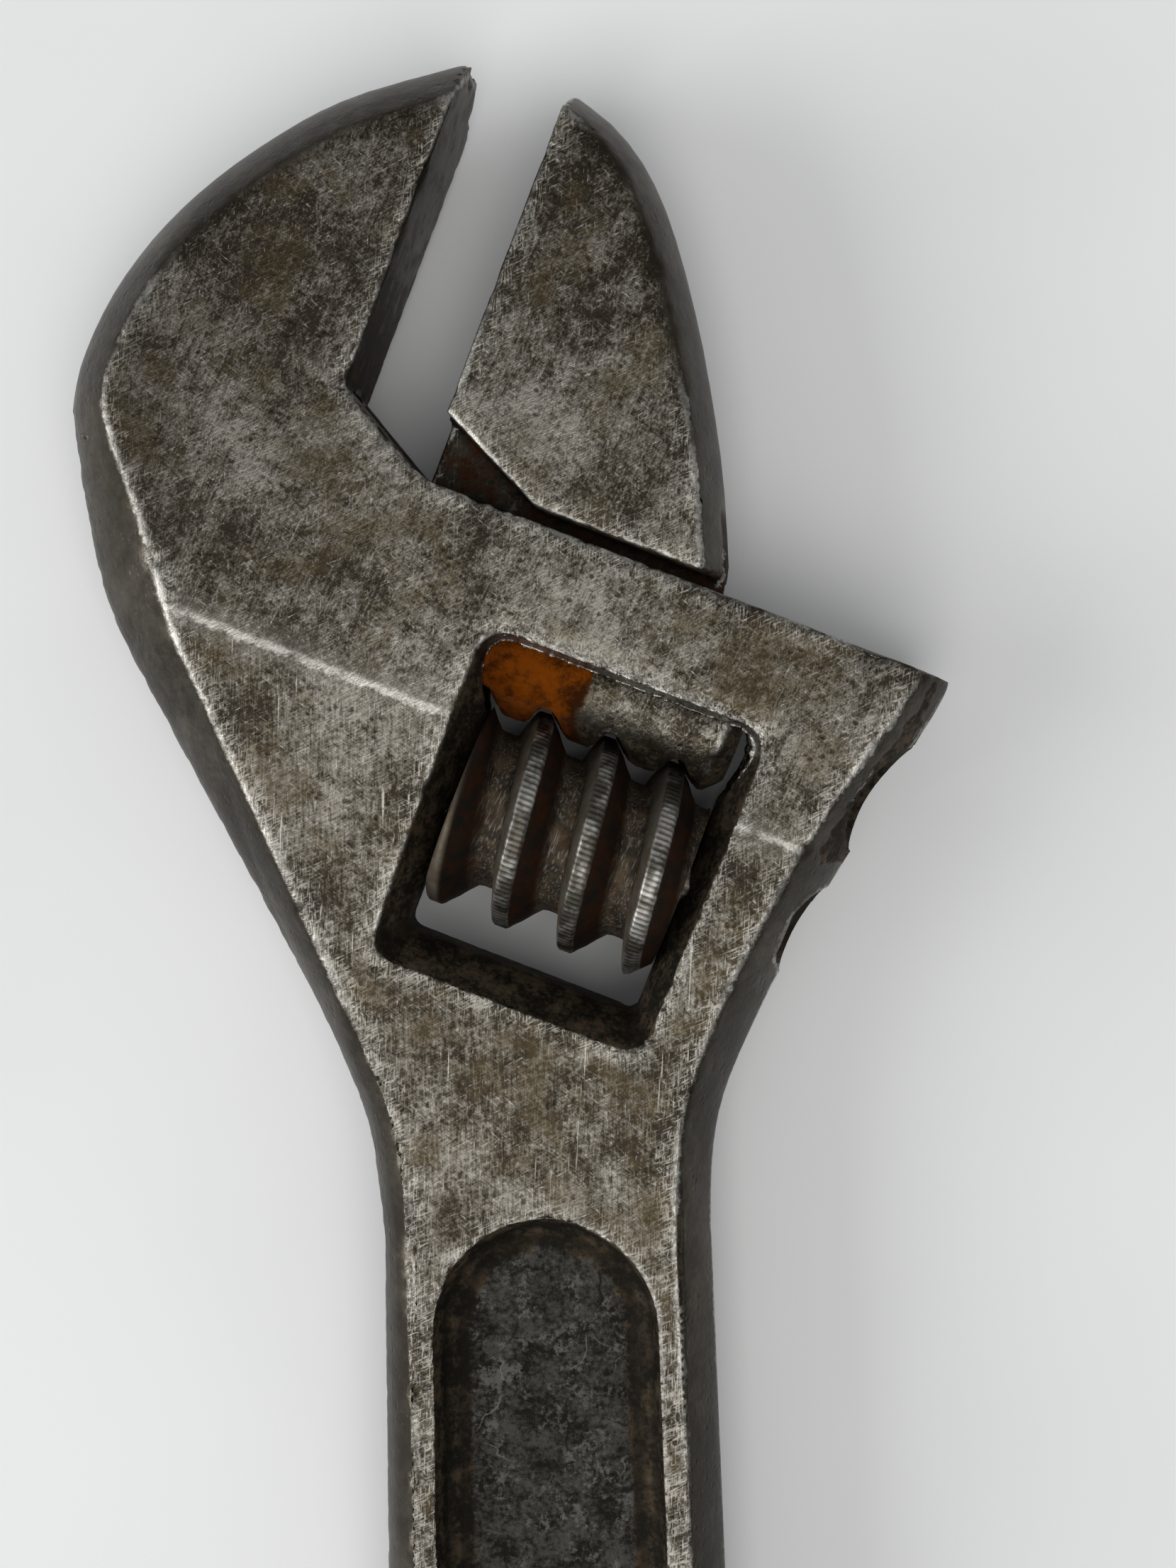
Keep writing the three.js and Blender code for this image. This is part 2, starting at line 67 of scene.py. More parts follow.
RAIL_TURN = math.radians(-22.5)

Colour = tuple[float, float, float]
Point = tuple[float, float, float]


# ---- where things are ----


class HeadFrame:
    """The head's own directions: s along the slide rail, q square to it, z up, in millimetres.

    Its zero is the point where the rail crosses the handle's centre line, at mid thickness, and it is
    worked out from the worm and its pin, which are at known places on the head.
    """

    WORM_MIDDLE = 14.25
    WORM_DEPTH = 25.9
    BAR_DEPTH = 11.7

    def __init__(self) -> None:
        """Finds the zero from the worm's middle and the pin's axis."""
        self.along = Vector((math.cos(RAIL_TURN), math.sin(RAIL_TURN), 0.0))
        self.across = Vector((-math.sin(RAIL_TURN), math.cos(RAIL_TURN), 0.0))
        upright = Vector((0.0, 0.0, 1.0))
        self.zero = (
            self.along * (self.middle("adjusting_worm", self.along) - self.WORM_MIDDLE * MM)
            + self.across * (self.middle("worm_pin", self.across) + self.WORM_DEPTH * MM)
            + upright * self.middle("worm_pin", upright)
        )

    @staticmethod
    def middle(node: str, direction: Vector) -> float:
        """Half way between a node's two ends in a direction.

        Args:
            node: Name of the CAD node.
            direction: Unit vector to measure along.

        Returns:
            The place of the middle, in metres.
        """
        marks = [v.co.dot(direction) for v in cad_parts[node].data.vertices]
        return (min(marks) + max(marks)) / 2

    def place(self, s: float, q: float, z: float = 0.0) -> Vector:
        """Point of the row frame, in metres, for head millimetres."""
        return self.zero + (self.along * s + self.across * q + Vector((0, 0, z))) * MM

    def read(self, point: Vector) -> tuple[float, float, float]:
        """Head millimetres (s, q, z) of a point in the row frame."""
        away = (point - self.zero) / MM
        return away.dot(self.along), away.dot(self.across), away.z

    def matrix(self, q: float = 0.0) -> Matrix:
        """Matrix that takes (s, q, z) millimetres, with q counted from the given line, to the row frame."""
        turn = Matrix.Rotation(RAIL_TURN, 4, "Z")
        return Matrix.Translation(self.place(0, q)) @ turn @ Matrix.Scale(MM, 4)


HEAD = HeadFrame()


def smooth_step(value: float, low: float, high: float) -> float:
    """0 at low, 1 at high, and an even ease between them."""
    share = min(1.0, max(0.0, (value - low) / (high - low)))
    return share * share * (3 - 2 * share)


def waves(point: Vector, size: float, seed: float) -> float:
    """Smooth noise from -1 to 1 with features about size millimetres across."""
    return noise.noise(point / (size * MM) + Vector((seed, -seed, seed * 0.5)))


# ---- shader maths ----


class Flow:
    """A value in a material: one socket, whose Python operators add Math nodes."""

    def __init__(self, recipe: "Recipe", socket: bpy.types.NodeSocket) -> None:
        """Wraps an output socket of the recipe's material."""
        self.recipe = recipe
        self.socket = socket

    def __add__(self, other: "Flow | float") -> "Flow":
        """Sum."""
        return self.recipe.math("ADD", self, other)

    def __sub__(self, other: "Flow | float") -> "Flow":
        """Difference."""
        return self.recipe.math("SUBTRACT", self, other)

    def __rsub__(self, other: float) -> "Flow":
        """Difference with the number first."""
        return self.recipe.math("SUBTRACT", other, self)

    def __mul__(self, other: "Flow | float") -> "Flow":
        """Product."""
        return self.recipe.math("MULTIPLY", self, other)

    def __truediv__(self, other: "Flow | float") -> "Flow":
        """Quotient."""
        return self.recipe.math("DIVIDE", self, other)

    def __pow__(self, other: float) -> "Flow":
        """Power."""
        return self.recipe.math("POWER", self, other)

    def __abs__(self) -> "Flow":
        """Size without sign."""
        return self.recipe.math("ABSOLUTE", self)

    __radd__ = __add__
    __rmul__ = __mul__

    def ease(self, low: float, high: float) -> "Flow":
        """0 below low and 1 above high, eased; low may be the larger one."""
        ends = {"Value": self, "From Min": low, "From Max": high}
        return self.recipe.add("ShaderNodeMapRange", {"interpolation_type": "SMOOTHSTEP"}, ends)

    def either(self, other: "Flow | float") -> "Flow":
        """The larger of two values."""
        return self.recipe.math("MAXIMUM", self, other)


class Recipe:
    """A material under construction, with one method for each kind of step."""

    def __init__(self, name: str) -> None:
        """Starts an empty node material.

        Args:
            name: the material's name.
        """
        self.material = bpy.data.materials.new(name)
        self.material.use_nodes = True
        self.tree = self.material.node_tree
        self.tree.nodes.clear()
        self.place = self.add("ShaderNodeTexCoord", output="Object")

    def add(
        self,
        kind: str,
        settings: dict[str, object] | None = None,
        sockets: dict[str, object] | None = None,
        output: str | int = 0,
    ) -> Flow:
        """Adds a node.

        Args:
            kind: the node's type.
            settings: its properties, set first.
            sockets: values or links of its inputs, by identifier or name.
            output: the output to hand back.

        Returns:
            The chosen output.
        """
        node = self.tree.nodes.new(kind)
        for name, value in (settings or {}).items():
            setattr(node, name, value)
        for name, value in (sockets or {}).items():
            socket = self._find(node.inputs, name)
            if isinstance(value, Flow):
                self.tree.links.new(value.socket, socket)
            else:
                socket.default_value = value
        found = node.outputs[output] if isinstance(output, int) else self._find(node.outputs, output)
        return Flow(self, found)

    @staticmethod
    def _find(sockets: Iterable[bpy.types.NodeSocket], key: str) -> bpy.types.NodeSocket:
        """The socket with that identifier, or else that name.

        Args:
            sockets: the sockets to search.
            key: an identifier or a name.

        Returns:
            The first socket that matches.
        """
        listed = list(sockets)
        matches = [s for s in listed if s.identifier == key] or [s for s in listed if s.name == key]
        return matches[0]

    def math(self, operation: str, first: "Flow | float", second: "Flow | float" = 0.0) -> Flow:
        """Math node on one or two values."""
        return self.add("ShaderNodeMath", {"operation": operation}, {"Value": first, "Value_001": second})

    def attribute(self, name: str) -> Flow:
        """Number stored on the mesh under that name."""
        return self.add("ShaderNodeAttribute", {"attribute_name": name}, output="Fac")

    def colour(self, share: "Flow | float", first: "Flow | Colour", second: "Flow | Colour") -> Flow:
        """Mixes two colours by a share from 0, the first, to 1, the second.

        Args:
            share: the mixing share.
            first: colour at 0.
            second: colour at 1.

        Returns:
            The mixed colour.
        """
        ends = {
            "Factor_Float": share,
            "A_Color": first if isinstance(first, Flow) else (*first, 1.0),
            "B_Color": second if isinstance(second, Flow) else (*second, 1.0),
        }
        return self.add("ShaderNodeMix", {"data_type": "RGBA"}, ends, "Result_Color")

    def upward(self) -> Flow:
        """How far the surface faces along Z, either way, from 0 to 1."""
        normal = self.add("ShaderNodeTexCoord", output="Normal")
        return abs(self.add("ShaderNodeSeparateXYZ", sockets={"Vector": normal}, output="Z"))

    def along(self, direction: Vector, start: Vector) -> Flow:
        """Distance in millimetres along a direction, counted from a point.

        Args:
            direction: unit vector to measure along.
            start: the point that counts as 0, in metres.

        Returns:
            The distance.
        """
        shift = {"Vector": self.place, "Vector_001": tuple(start)}
        away = self.add("ShaderNodeVectorMath", {"operation": "SUBTRACT"}, shift)
        scaled = {"Vector": away, "Vector_001": tuple(direction / MM)}
        return self.add("ShaderNodeVectorMath", {"operation": "DOT_PRODUCT"}, scaled, "Value")

    def grain(self, size: float, detail: float = 2.0, rough: float = 0.5, seed: float = 0.0) -> Flow:
        """Even noise, from 0 to 1, with features about size millimetres across."""
        return self.strokes(size, size, 0.0, detail, rough, seed)

    def strokes(
        self,
        length: float,
        width: float,
        angle: float,
        detail: float = 2.0,
        rough: float = 0.5,
        seed: float = 0.0,
    ) -> Flow:
        """Noise drawn out along one direction of the XY plane.

        Args:
            length: feature length in millimetres.
            width: feature width in millimetres.
            angle: the direction, in degrees from X.
            detail: octaves of finer noise.
            rough: strength of each finer octave.
            seed: shifts the pattern.

        Returns:
            A value from 0 to 1.
        """
        turned = self.add("ShaderNodeMapping", {"vector_type": "TEXTURE"}, {
            "Vector": self.place,
            "Location": (seed * MM, -seed * MM, seed * MM),
            "Rotation": (0.0, 0.0, math.radians(angle)),
            "Scale": (length * MM, width * MM, width * MM),
        })
        pattern = {"Vector": turned, "Scale": 1.0, "Detail": detail, "Roughness": rough}
        return self.add("ShaderNodeTexNoise", None, pattern)

    def spots(self, size: float, seed: float = 0.0) -> Flow:
        """Distance to the nearest of many scattered points, as a share of size millimetres.

        Args:
            size: spacing of the points in millimetres.
            seed: shifts the pattern.

        Returns:
            The distance as a share.
        """
        moved = {"Vector": self.place, "Vector_001": (seed, seed, -seed)}
        shifted = self.add("ShaderNodeVectorMath", {"operation": "ADD"}, moved)
        pattern = {"Vector": shifted, "Scale": 1 / (size * MM)}
        return self.add("ShaderNodeTexVoronoi", None, pattern, "Distance")

    def bump(self, height: Flow, depth: float, strength: float = 1.0) -> Flow:
        """Bump normal from a height of 0 to 1 that stands for depth millimetres."""
        values = {"Height": height, "Distance": depth * MM, "Strength": strength}
        return self.add("ShaderNodeBump", None, values, "Normal")

    def finish(self, sockets: dict[str, object]) -> bpy.types.Material:
        """Joins a Principled shader to the output and hands the material back.

        Args:
            sockets: values or links of the shader's inputs.

        Returns:
            The finished material.
        """
        shader = self.add("ShaderNodeBsdfPrincipled", None, sockets)
        self.add_output(shader)
        return self.material

    def add_output(self, shader: Flow) -> None:
        """Adds the material's output node."""
        node = self.tree.nodes.new("ShaderNodeOutputMaterial")
        self.tree.links.new(shader.socket, node.inputs["Surface"])


# ---- finishes ----


@dataclass(frozen=True)
class Tones:
    """Colours of one kind of worn steel, from bare edges to the darkest grime and painted shade."""

    bright: Colour = (0.52, 0.50, 0.455)
    light: Colour = (0.222, 0.206, 0.177)
    grey: Colour = (0.119, 0.108, 0.088)
    brown: Colour = (0.060, 0.051, 0.037)
    shade: Colour = (0.025, 0.020, 0.014)
    soot: Colour = (0.010, 0.008, 0.005)
    stain: Colour = (0.068, 0.050, 0.024)
    grime: Colour = (0.085, 0.060, 0.035)
    rust: Colour = (0.19, 0.046, 0.0016)
    old_rust: Colour = (0.038, 0.011, 0.002)
    scale: Colour = (0.060, 0.057, 0.051)
    flake: Colour = (0.12, 0.115, 0.105)


@dataclass(frozen=True)
class ForgedFinish:
    """Hand-worn forged steel: brushed faces, bright edges, darkened hollows, grime and painted shade on
    hidden walls, rust where the mesh says so.

    The mesh carries numbers on its points: edge and hollow are the distances in millimetres to the nearest
    convex and concave corner, and dirt (grime, with painted shade on walls and hidden parts), rusting,
    scaled (forging scale left on), dull (edges that are worn soft and dark), tarnish (painted shade standing
    in for dimmer reflections, partly dark patina) and rubbed (kept bare by fingers) go from 0 to 1.
    """

    name: str
    tones: Tones
    brush_angle: float = 62.0
    neck_brush_angle: float = 89.0
    seed: float = 0.0

    CREASE_Q: ClassVar[float] = -18.9

    def material(self) -> bpy.types.Material:
        """Builds the material.

        Returns:
            The finished material.
        """
        mix = Recipe(self.name)
        tones = self.tones
        edge, hollow, grime_and_shade, rusting, scaled, dull, patina_and_shade, rubbed = (
            mix.attribute(name) for name in WornBody.MEASURES
        )
        face = mix.upward().ease(0.78, 0.97)
        height_on_head = mix.along(HEAD.across, HEAD.place(0, self.CREASE_Q))
        neck = height_on_head.ease(0.5, -1.5)

        cloud = mix.grain(11, 4, 0.6, self.seed) - 0.5
        mottle = mix.grain(2.3, 5, 0.66, self.seed + 3) - 0.5
        speckle = mix.grain(0.5, 4, 0.7, self.seed + 7) - 0.5
        head_brush = mix.strokes(4.5, 0.20, self.brush_angle, 4, 0.65, self.seed + 11)
        neck_brush = mix.strokes(7.0, 0.28, self.neck_brush_angle, 4, 0.65, self.seed + 12)
        brushed = head_brush * (1 - neck) + (neck_brush * 0.75 + 0.125) * neck - 0.5
        flecks = [
            mix.strokes(0.95, 0.15, self.brush_angle + turn, 2, 0.5, self.seed + 13 + turn) - 0.5
            for turn in (24, -38, 77)
        ]

        tone = 0.5 + cloud * 1.4 + mottle * 1.15 + speckle * 1.25 + brushed * 1.0 * face
        tone = tone + (flecks[0] + flecks[1] + flecks[2]) * 0.6 * face - dull * 0.10
        surface = mix.colour(tone.ease(0.12, 0.46), tones.shade, tones.brown)
        surface = mix.colour(tone.ease(0.34, 0.62), surface, tones.grey)
        surface = mix.colour(tone.ease(0.56, 0.92), surface, tones.light)

        strike = (flecks[0].either(flecks[1]).either(flecks[2])).ease(0.17, 0.26)
        scratch = brushed.ease(0.17, 0.30).either(strike) * face
        surface = mix.colour(scratch * 0.42, surface, tones.bright)
        long_scratch = mix.strokes(34, 0.35, self.neck_brush_angle - 3, 1, 0.5, self.seed + 61)
        surface = mix.colour(long_scratch.ease(0.70, 0.78) * neck * face * 0.6, surface, tones.bright)

        pit_field = mix.grain(6, 3, 0.6, self.seed + 23).ease(0.47, 0.60)
        pits = mix.spots(0.9, self.seed + 29).ease(0.36, 0.10) * pit_field
        blotch = mix.grain(3.4, 5, 0.75, self.seed + 41).ease(0.60, 0.70)
        surface = mix.colour((pits * 0.8).either(blotch * 0.62) * face, surface, tones.shade)
        stain = mix.grain(8, 4, 0.7, self.seed + 47).ease(0.50, 0.62) * face
        surface = mix.colour(stain * 0.45, surface, tones.stain)
        # Painted shade: tarnish darkens the rim, the fixed jaw's back and the heel in place of dimmer
        # reflections, partly dark patina.
        surface = mix.colour(patina_and_shade * 0.72, surface, tones.shade)

        side = (1 - face) * (1 - grime_and_shade) * (1 - rubbed)
        smooth_side = mix.colour((cloud + mottle * 0.8 + 0.5).ease(0.35, 0.85), tones.shade, tones.brown)
        surface = mix.colour(side * 0.94, surface, smooth_side)

        surface = mix.colour(scaled, surface, self.forging_scale(mix, mottle, speckle))

        ragged = edge + speckle * 1.3 + mottle * 1.8
        broken = (0.5 + cloud * 1.6 + mottle * 0.8).ease(0.15, 0.6)
        wear = ragged.ease(0.55, 0.05) * (1 - grime_and_shade * 0.5) * (1 - dull * 0.9) * (1 - patina_and_shade * 0.5) * broken
        frayed = edge.ease(2.6, 0.2) * face * (1 - dull) * (1 - patina_and_shade * 0.6)
        frayed = frayed * (flecks[0].either(flecks[1]) + mottle * 0.4).ease(0.02, 0.16)
        surface = mix.colour(frayed * 0.40, surface, tones.bright)
        crease = abs(height_on_head + mottle * 1.2 + speckle * 1.2)
        line = crease.ease(0.60, 0.08) * face * (0.5 + mottle * 1.6 + cloud * 1.2).ease(0.15, 0.60)
        surface = mix.colour(crease.ease(2.6, 0.3) * face * 0.25, surface, tones.light)
        polished = rubbed * (0.42 + mottle * 1.6 + speckle * 1.6 + (flecks[0] + flecks[2]) * 1.2)
        wear = wear.either(line * 0.85).either(polished.ease(0.05, 0.85))
        surface = mix.colour(wear * 0.80, surface, tones.bright)

        # Grime and painted shade: a dark crust on the walls of the window, the channel and the recess, and
        # on parts hidden inside the frame.
        grime_and_shade_cover = (grime_and_shade * 1.3 + mottle * 1.0 + speckle * 0.5 - wear * 0.5).ease(0.30, 0.80)
        grime_and_shade_colour = mix.colour((mottle + speckle * 0.7 + 0.5).ease(0.38, 0.70), tones.soot, tones.grime)
        surface = mix.colour(grime_and_shade_cover * 0.95, surface, grime_and_shade_colour)
        seams = (hollow + mottle).ease(1.2, 0.1) * (1 - wear)
        surface = mix.colour(seams * 0.75, surface, tones.soot)

        rust_cover = (rusting * 1.4 + mottle * 1.3 + speckle * 0.7).ease(0.45, 0.80)
        patchy = mix.grain(1.6, 5, 0.72, self.seed + 31)
        fresh = (patchy - 0.5 + rusting * 0.5).ease(0.28, 0.58)
        rust = mix.colour(fresh, tones.old_rust, tones.rust)
        surface = mix.colour(rust_cover, surface, rust)

        covered = grime_and_shade_cover.either(seams * 0.6).either(scaled * 0.75)
        rough = 0.40 - tone * 0.05 + covered.either(rust_cover) * 0.36 - wear * 0.06 + side * 0.04
        height = (brushed + flecks[0] * 0.8 + flecks[1] * 0.8) * 0.7 * face + speckle * 0.8 + mottle * 1.6
        height = height - pits * 0.9 - blotch * 0.3 + (rust_cover + scaled) * speckle * 1.6
        return mix.finish({
            "Base Color": surface,
            "Metallic": 0.96 - covered * 0.15,
            "Roughness": rough,
            "Normal": mix.bump(height, 0.10, 0.6),
        })

    def forging_scale(self, mix: Recipe, mottle: Flow, speckle: Flow) -> Flow:
        """Colour of the dark scale left in the handle's recess, with pale flakes, hairline cracks, and
        painted glints along crack lines elsewhere.

        Args:
            mix: the material being built.
            mottle: middle-sized noise around 0.
            speckle: fine noise around 0.

        Returns:
            The colour.
        """
        tones = self.tones
        flakes = (mix.grain(2.4, 5, 0.72, self.seed + 51) - 0.5 + speckle * 0.5).ease(0.03, 0.16)
        colour = mix.colour((mottle + speckle + 0.5).ease(0.3, 0.72), tones.soot, tones.scale)
        colour = mix.colour(flakes * 0.8, colour, tones.flake)
        wander = mix.add("ShaderNodeVectorMath", {"operation": "SCALE"}, {
            "Vector": mix.add("ShaderNodeTexNoise", None, {"Vector": mix.place, "Scale": 300.0}, "Color"),
            "Scale": 0.004,
        })
        moved = {"Vector": mix.place, "Vector_001": wander}
        bent = mix.add("ShaderNodeVectorMath", {"operation": "ADD"}, moved)
        pattern = {"Vector": bent, "Scale": 170.0}
        cells = mix.add("ShaderNodeTexVoronoi", {"feature": "DISTANCE_TO_EDGE"}, pattern)
        where = mix.grain(9, 2, 0.5, self.seed + 57)
        cracks = cells.ease(0.030, 0.008) * where.ease(0.50, 0.60)
        # Painted highlights: pale glints along the crack pattern's lines.
        painted_glints = (cells + abs(speckle) * 0.10).ease(0.022, 0.006) * where.ease(0.46, 0.38)
        colour = mix.colour(cracks * 0.9, colour, tones.soot)
        return mix.colour(painted_glints * 0.5, colour, tones.light)


@dataclass(frozen=True)
class WormFinish:
    """Knurled steel: worn crests, flanks in painted light and shade (the steep one lighter, the long one
    dark), rust-brown roots.

    The mesh carries crest, from 0 at the root to 1 at the top of the thread, and lean, from -1 on the
    steep flank to 1 on the long one.
    """

    name: str
    tones: Tones

    def material(self) -> bpy.types.Material:
        """Builds the material.

        Returns:
            The finished material.
        """
        mix = Recipe(self.name)
        tones = self.tones
        crest = mix.attribute("crest")
        lean = mix.attribute("lean")
        mottle = mix.grain(1.7, 4, 0.65, 2)
        speckle = mix.grain(0.4, 3, 0.6, 5)
        streak = mix.strokes(2.4, 0.2, 66, 3, 0.6, 9)

        root = mix.colour(mottle.ease(0.36, 0.66), tones.shade, tones.grime)
        root = mix.colour(streak.ease(0.52, 0.66) * 0.7, root, tones.light)
        orange = mix.grain(2.2, 4, 0.7, 21).ease(0.54, 0.64)
        root = mix.colour(orange * 0.5, root, tones.old_rust)
        # Painted light and shade: the steep flank is lighter and the long flank darker, by the lean.
        flank = mix.colour(mottle.ease(0.3, 0.7), tones.grime, tones.grey)
        shaded_flank = mix.colour(mottle.ease(0.35, 0.7), tones.soot, tones.old_rust)
        flank = mix.colour(lean.ease(0.1, 0.6), flank, shaded_flank)
        surface = mix.colour(crest.ease(0.06, 0.30), root, flank)
        rubbed = mix.grain(2.6, 3, 0.6, 12).ease(0.42, 0.62)
        polish = (crest + (speckle - 0.5) * 0.10).ease(0.86, 0.97)
        ridge = mix.colour(rubbed, tones.grey, tones.bright)
        surface = mix.colour(polish, surface, ridge)
        grime = mix.attribute("groove")
        surface = mix.colour(grime * 0.85, surface, tones.soot)
        rough = 0.42 + (1 - polish) * 0.22 + (speckle - 0.5) * 0.1
        metal = 0.75 + polish * 0.2
        height = speckle * 0.6 + mottle * 0.8 + streak * 0.4
        return mix.finish({
            "Base Color": surface,
            "Metallic": metal,
            "Roughness": rough,
            "Normal": mix.bump(height, 0.06, 0.5),
        })


@dataclass(frozen=True)
class PlainSteelFinish:
    """Oiled steel of the small inner pieces: dark, lightly scratched."""

    name: str
    dark: Colour
    light: Colour

    def material(self) -> bpy.types.Material:
        """Builds the material.

        Returns:
            The finished material.
        """
        mix = Recipe(self.name)
        mottle = mix.grain(1.2, 4, 0.6, 1)
        lines = mix.strokes(2.0, 0.12, 67, 2, 0.5, 4)
        surface = mix.colour(mottle.ease(0.35, 0.65), self.dark, self.light)
        surface = mix.colour(lines.ease(0.58, 0.72) * 0.5, surface, (0.5, 0.48, 0.45))
        return mix.finish({
            "Base Color": surface,
            "Metallic": 0.9,
            "Roughness": 0.38 + (1 - mottle) * 0.2,
            "Normal": mix.bump(lines + mottle * 0.6, 0.03, 0.4),
        })


@dataclass(frozen=True)
class PaperFinish:
    """Pale matt paper under the wrench."""

    name: str
    colour: Colour

    def material(self) -> bpy.types.Material:
        """Builds the material.

        Returns:
            The finished material.
        """
        mix = Recipe(self.name)
        cloudy = mix.grain(60, 3, 0.5, 2)
        tint = tuple(c * 0.955 for c in self.colour)
        return mix.finish({
            "Base Color": mix.colour(cloudy.ease(0.3, 0.7), tint, self.colour),
            "Roughness": 0.85,
            "Normal": mix.bump(mix.grain(0.5, 3, 0.6, 1), 0.02, 0.3),
        })


# ---- mesh work ----


class Bend(Enum):
    """Which way the surface turns at a corner."""

    CONVEX = 1
    CONCAVE = -1


class CornerMap:
    """Looks up the distance from a point to the nearest sharp corner of a body."""

    SPACING = 0.3
    SHARP = math.radians(21)

    def __init__(self, bm: bmesh.types.BMesh) -> None:
        """Samples every sharp edge of a clean mesh.

        Args:
            bm: the body, with its flat faces whole.
        """
        self.points: dict[Bend, list[Vector]] = {Bend.CONVEX: [], Bend.CONCAVE: []}
        for edge in bm.edges:
            if len(edge.link_faces) != 2:
                continue
            angle = edge.calc_face_angle_signed()
            if abs(angle) < self.SHARP:
                continue
            a, b = (v.co for v in edge.verts)
            steps = max(1, math.ceil(edge.calc_length() / (self.SPACING * MM)))
            kind = Bend.CONVEX if angle > 0 else Bend.CONCAVE
            self.points[kind].extend(a.lerp(b, i / steps) for i in range(steps + 1))
        self.trees = {kind: self._tree(found) for kind, found in self.points.items()}

    @staticmethod
    def _tree(points: list[Vector]) -> kdtree.KDTree:
        """Search tree over the sampled points.

        Args:
            points: the samples.

        Returns:
            The balanced tree.
        """
        tree = kdtree.KDTree(max(1, len(points)))
        for index, point in enumerate(points):
            tree.insert(point, index)
        tree.balance()
        return tree

    def distance(self, point: Vector, kind: Bend) -> float:
        """Millimetres from a point to the nearest corner of that kind.

        Args:
            point: a point in the row frame, in metres.
            kind: which kind of corner to look for.

        Returns:
            The distance, or 99 where the body has no such corner.
        """
        if not self.points[kind]:
            return 99.0
        return self.trees[kind].find(point)[2] / MM


@dataclass
class Nicks:
    """Small dents along the convex corners: how many, how wide and how deep, in millimetres."""

    count: int
    width: tuple[float, float] = (0.5, 1.5)
    depth: tuple[float, float] = (0.06, 0.28)
    seed: int = 4

    def press(self, bm: bmesh.types.BMesh, spots: list[Vector]) -> None:
        """Presses dents into the mesh at corners picked at random.

        Args:
            bm: the body.
            spots: points on its convex corners.
        """
        tree = kdtree.KDTree(len(bm.verts))
        for vert in bm.verts:
            tree.insert(vert.co, vert.index)
        tree.balance()
        bm.verts.ensure_lookup_table()
        draw = random.Random(self.seed)
        for _ in range(self.count):
            middle = draw.choice(spots)
            width = draw.uniform(*self.width)
            depth = draw.uniform(*self.depth) * width
            for _, index, away in tree.find_range(middle, width * MM):
                share = (1 - (away / (width * MM)) ** 2) ** 2
                vert = bm.verts[index]
                vert.co -= vert.normal * depth * share * MM


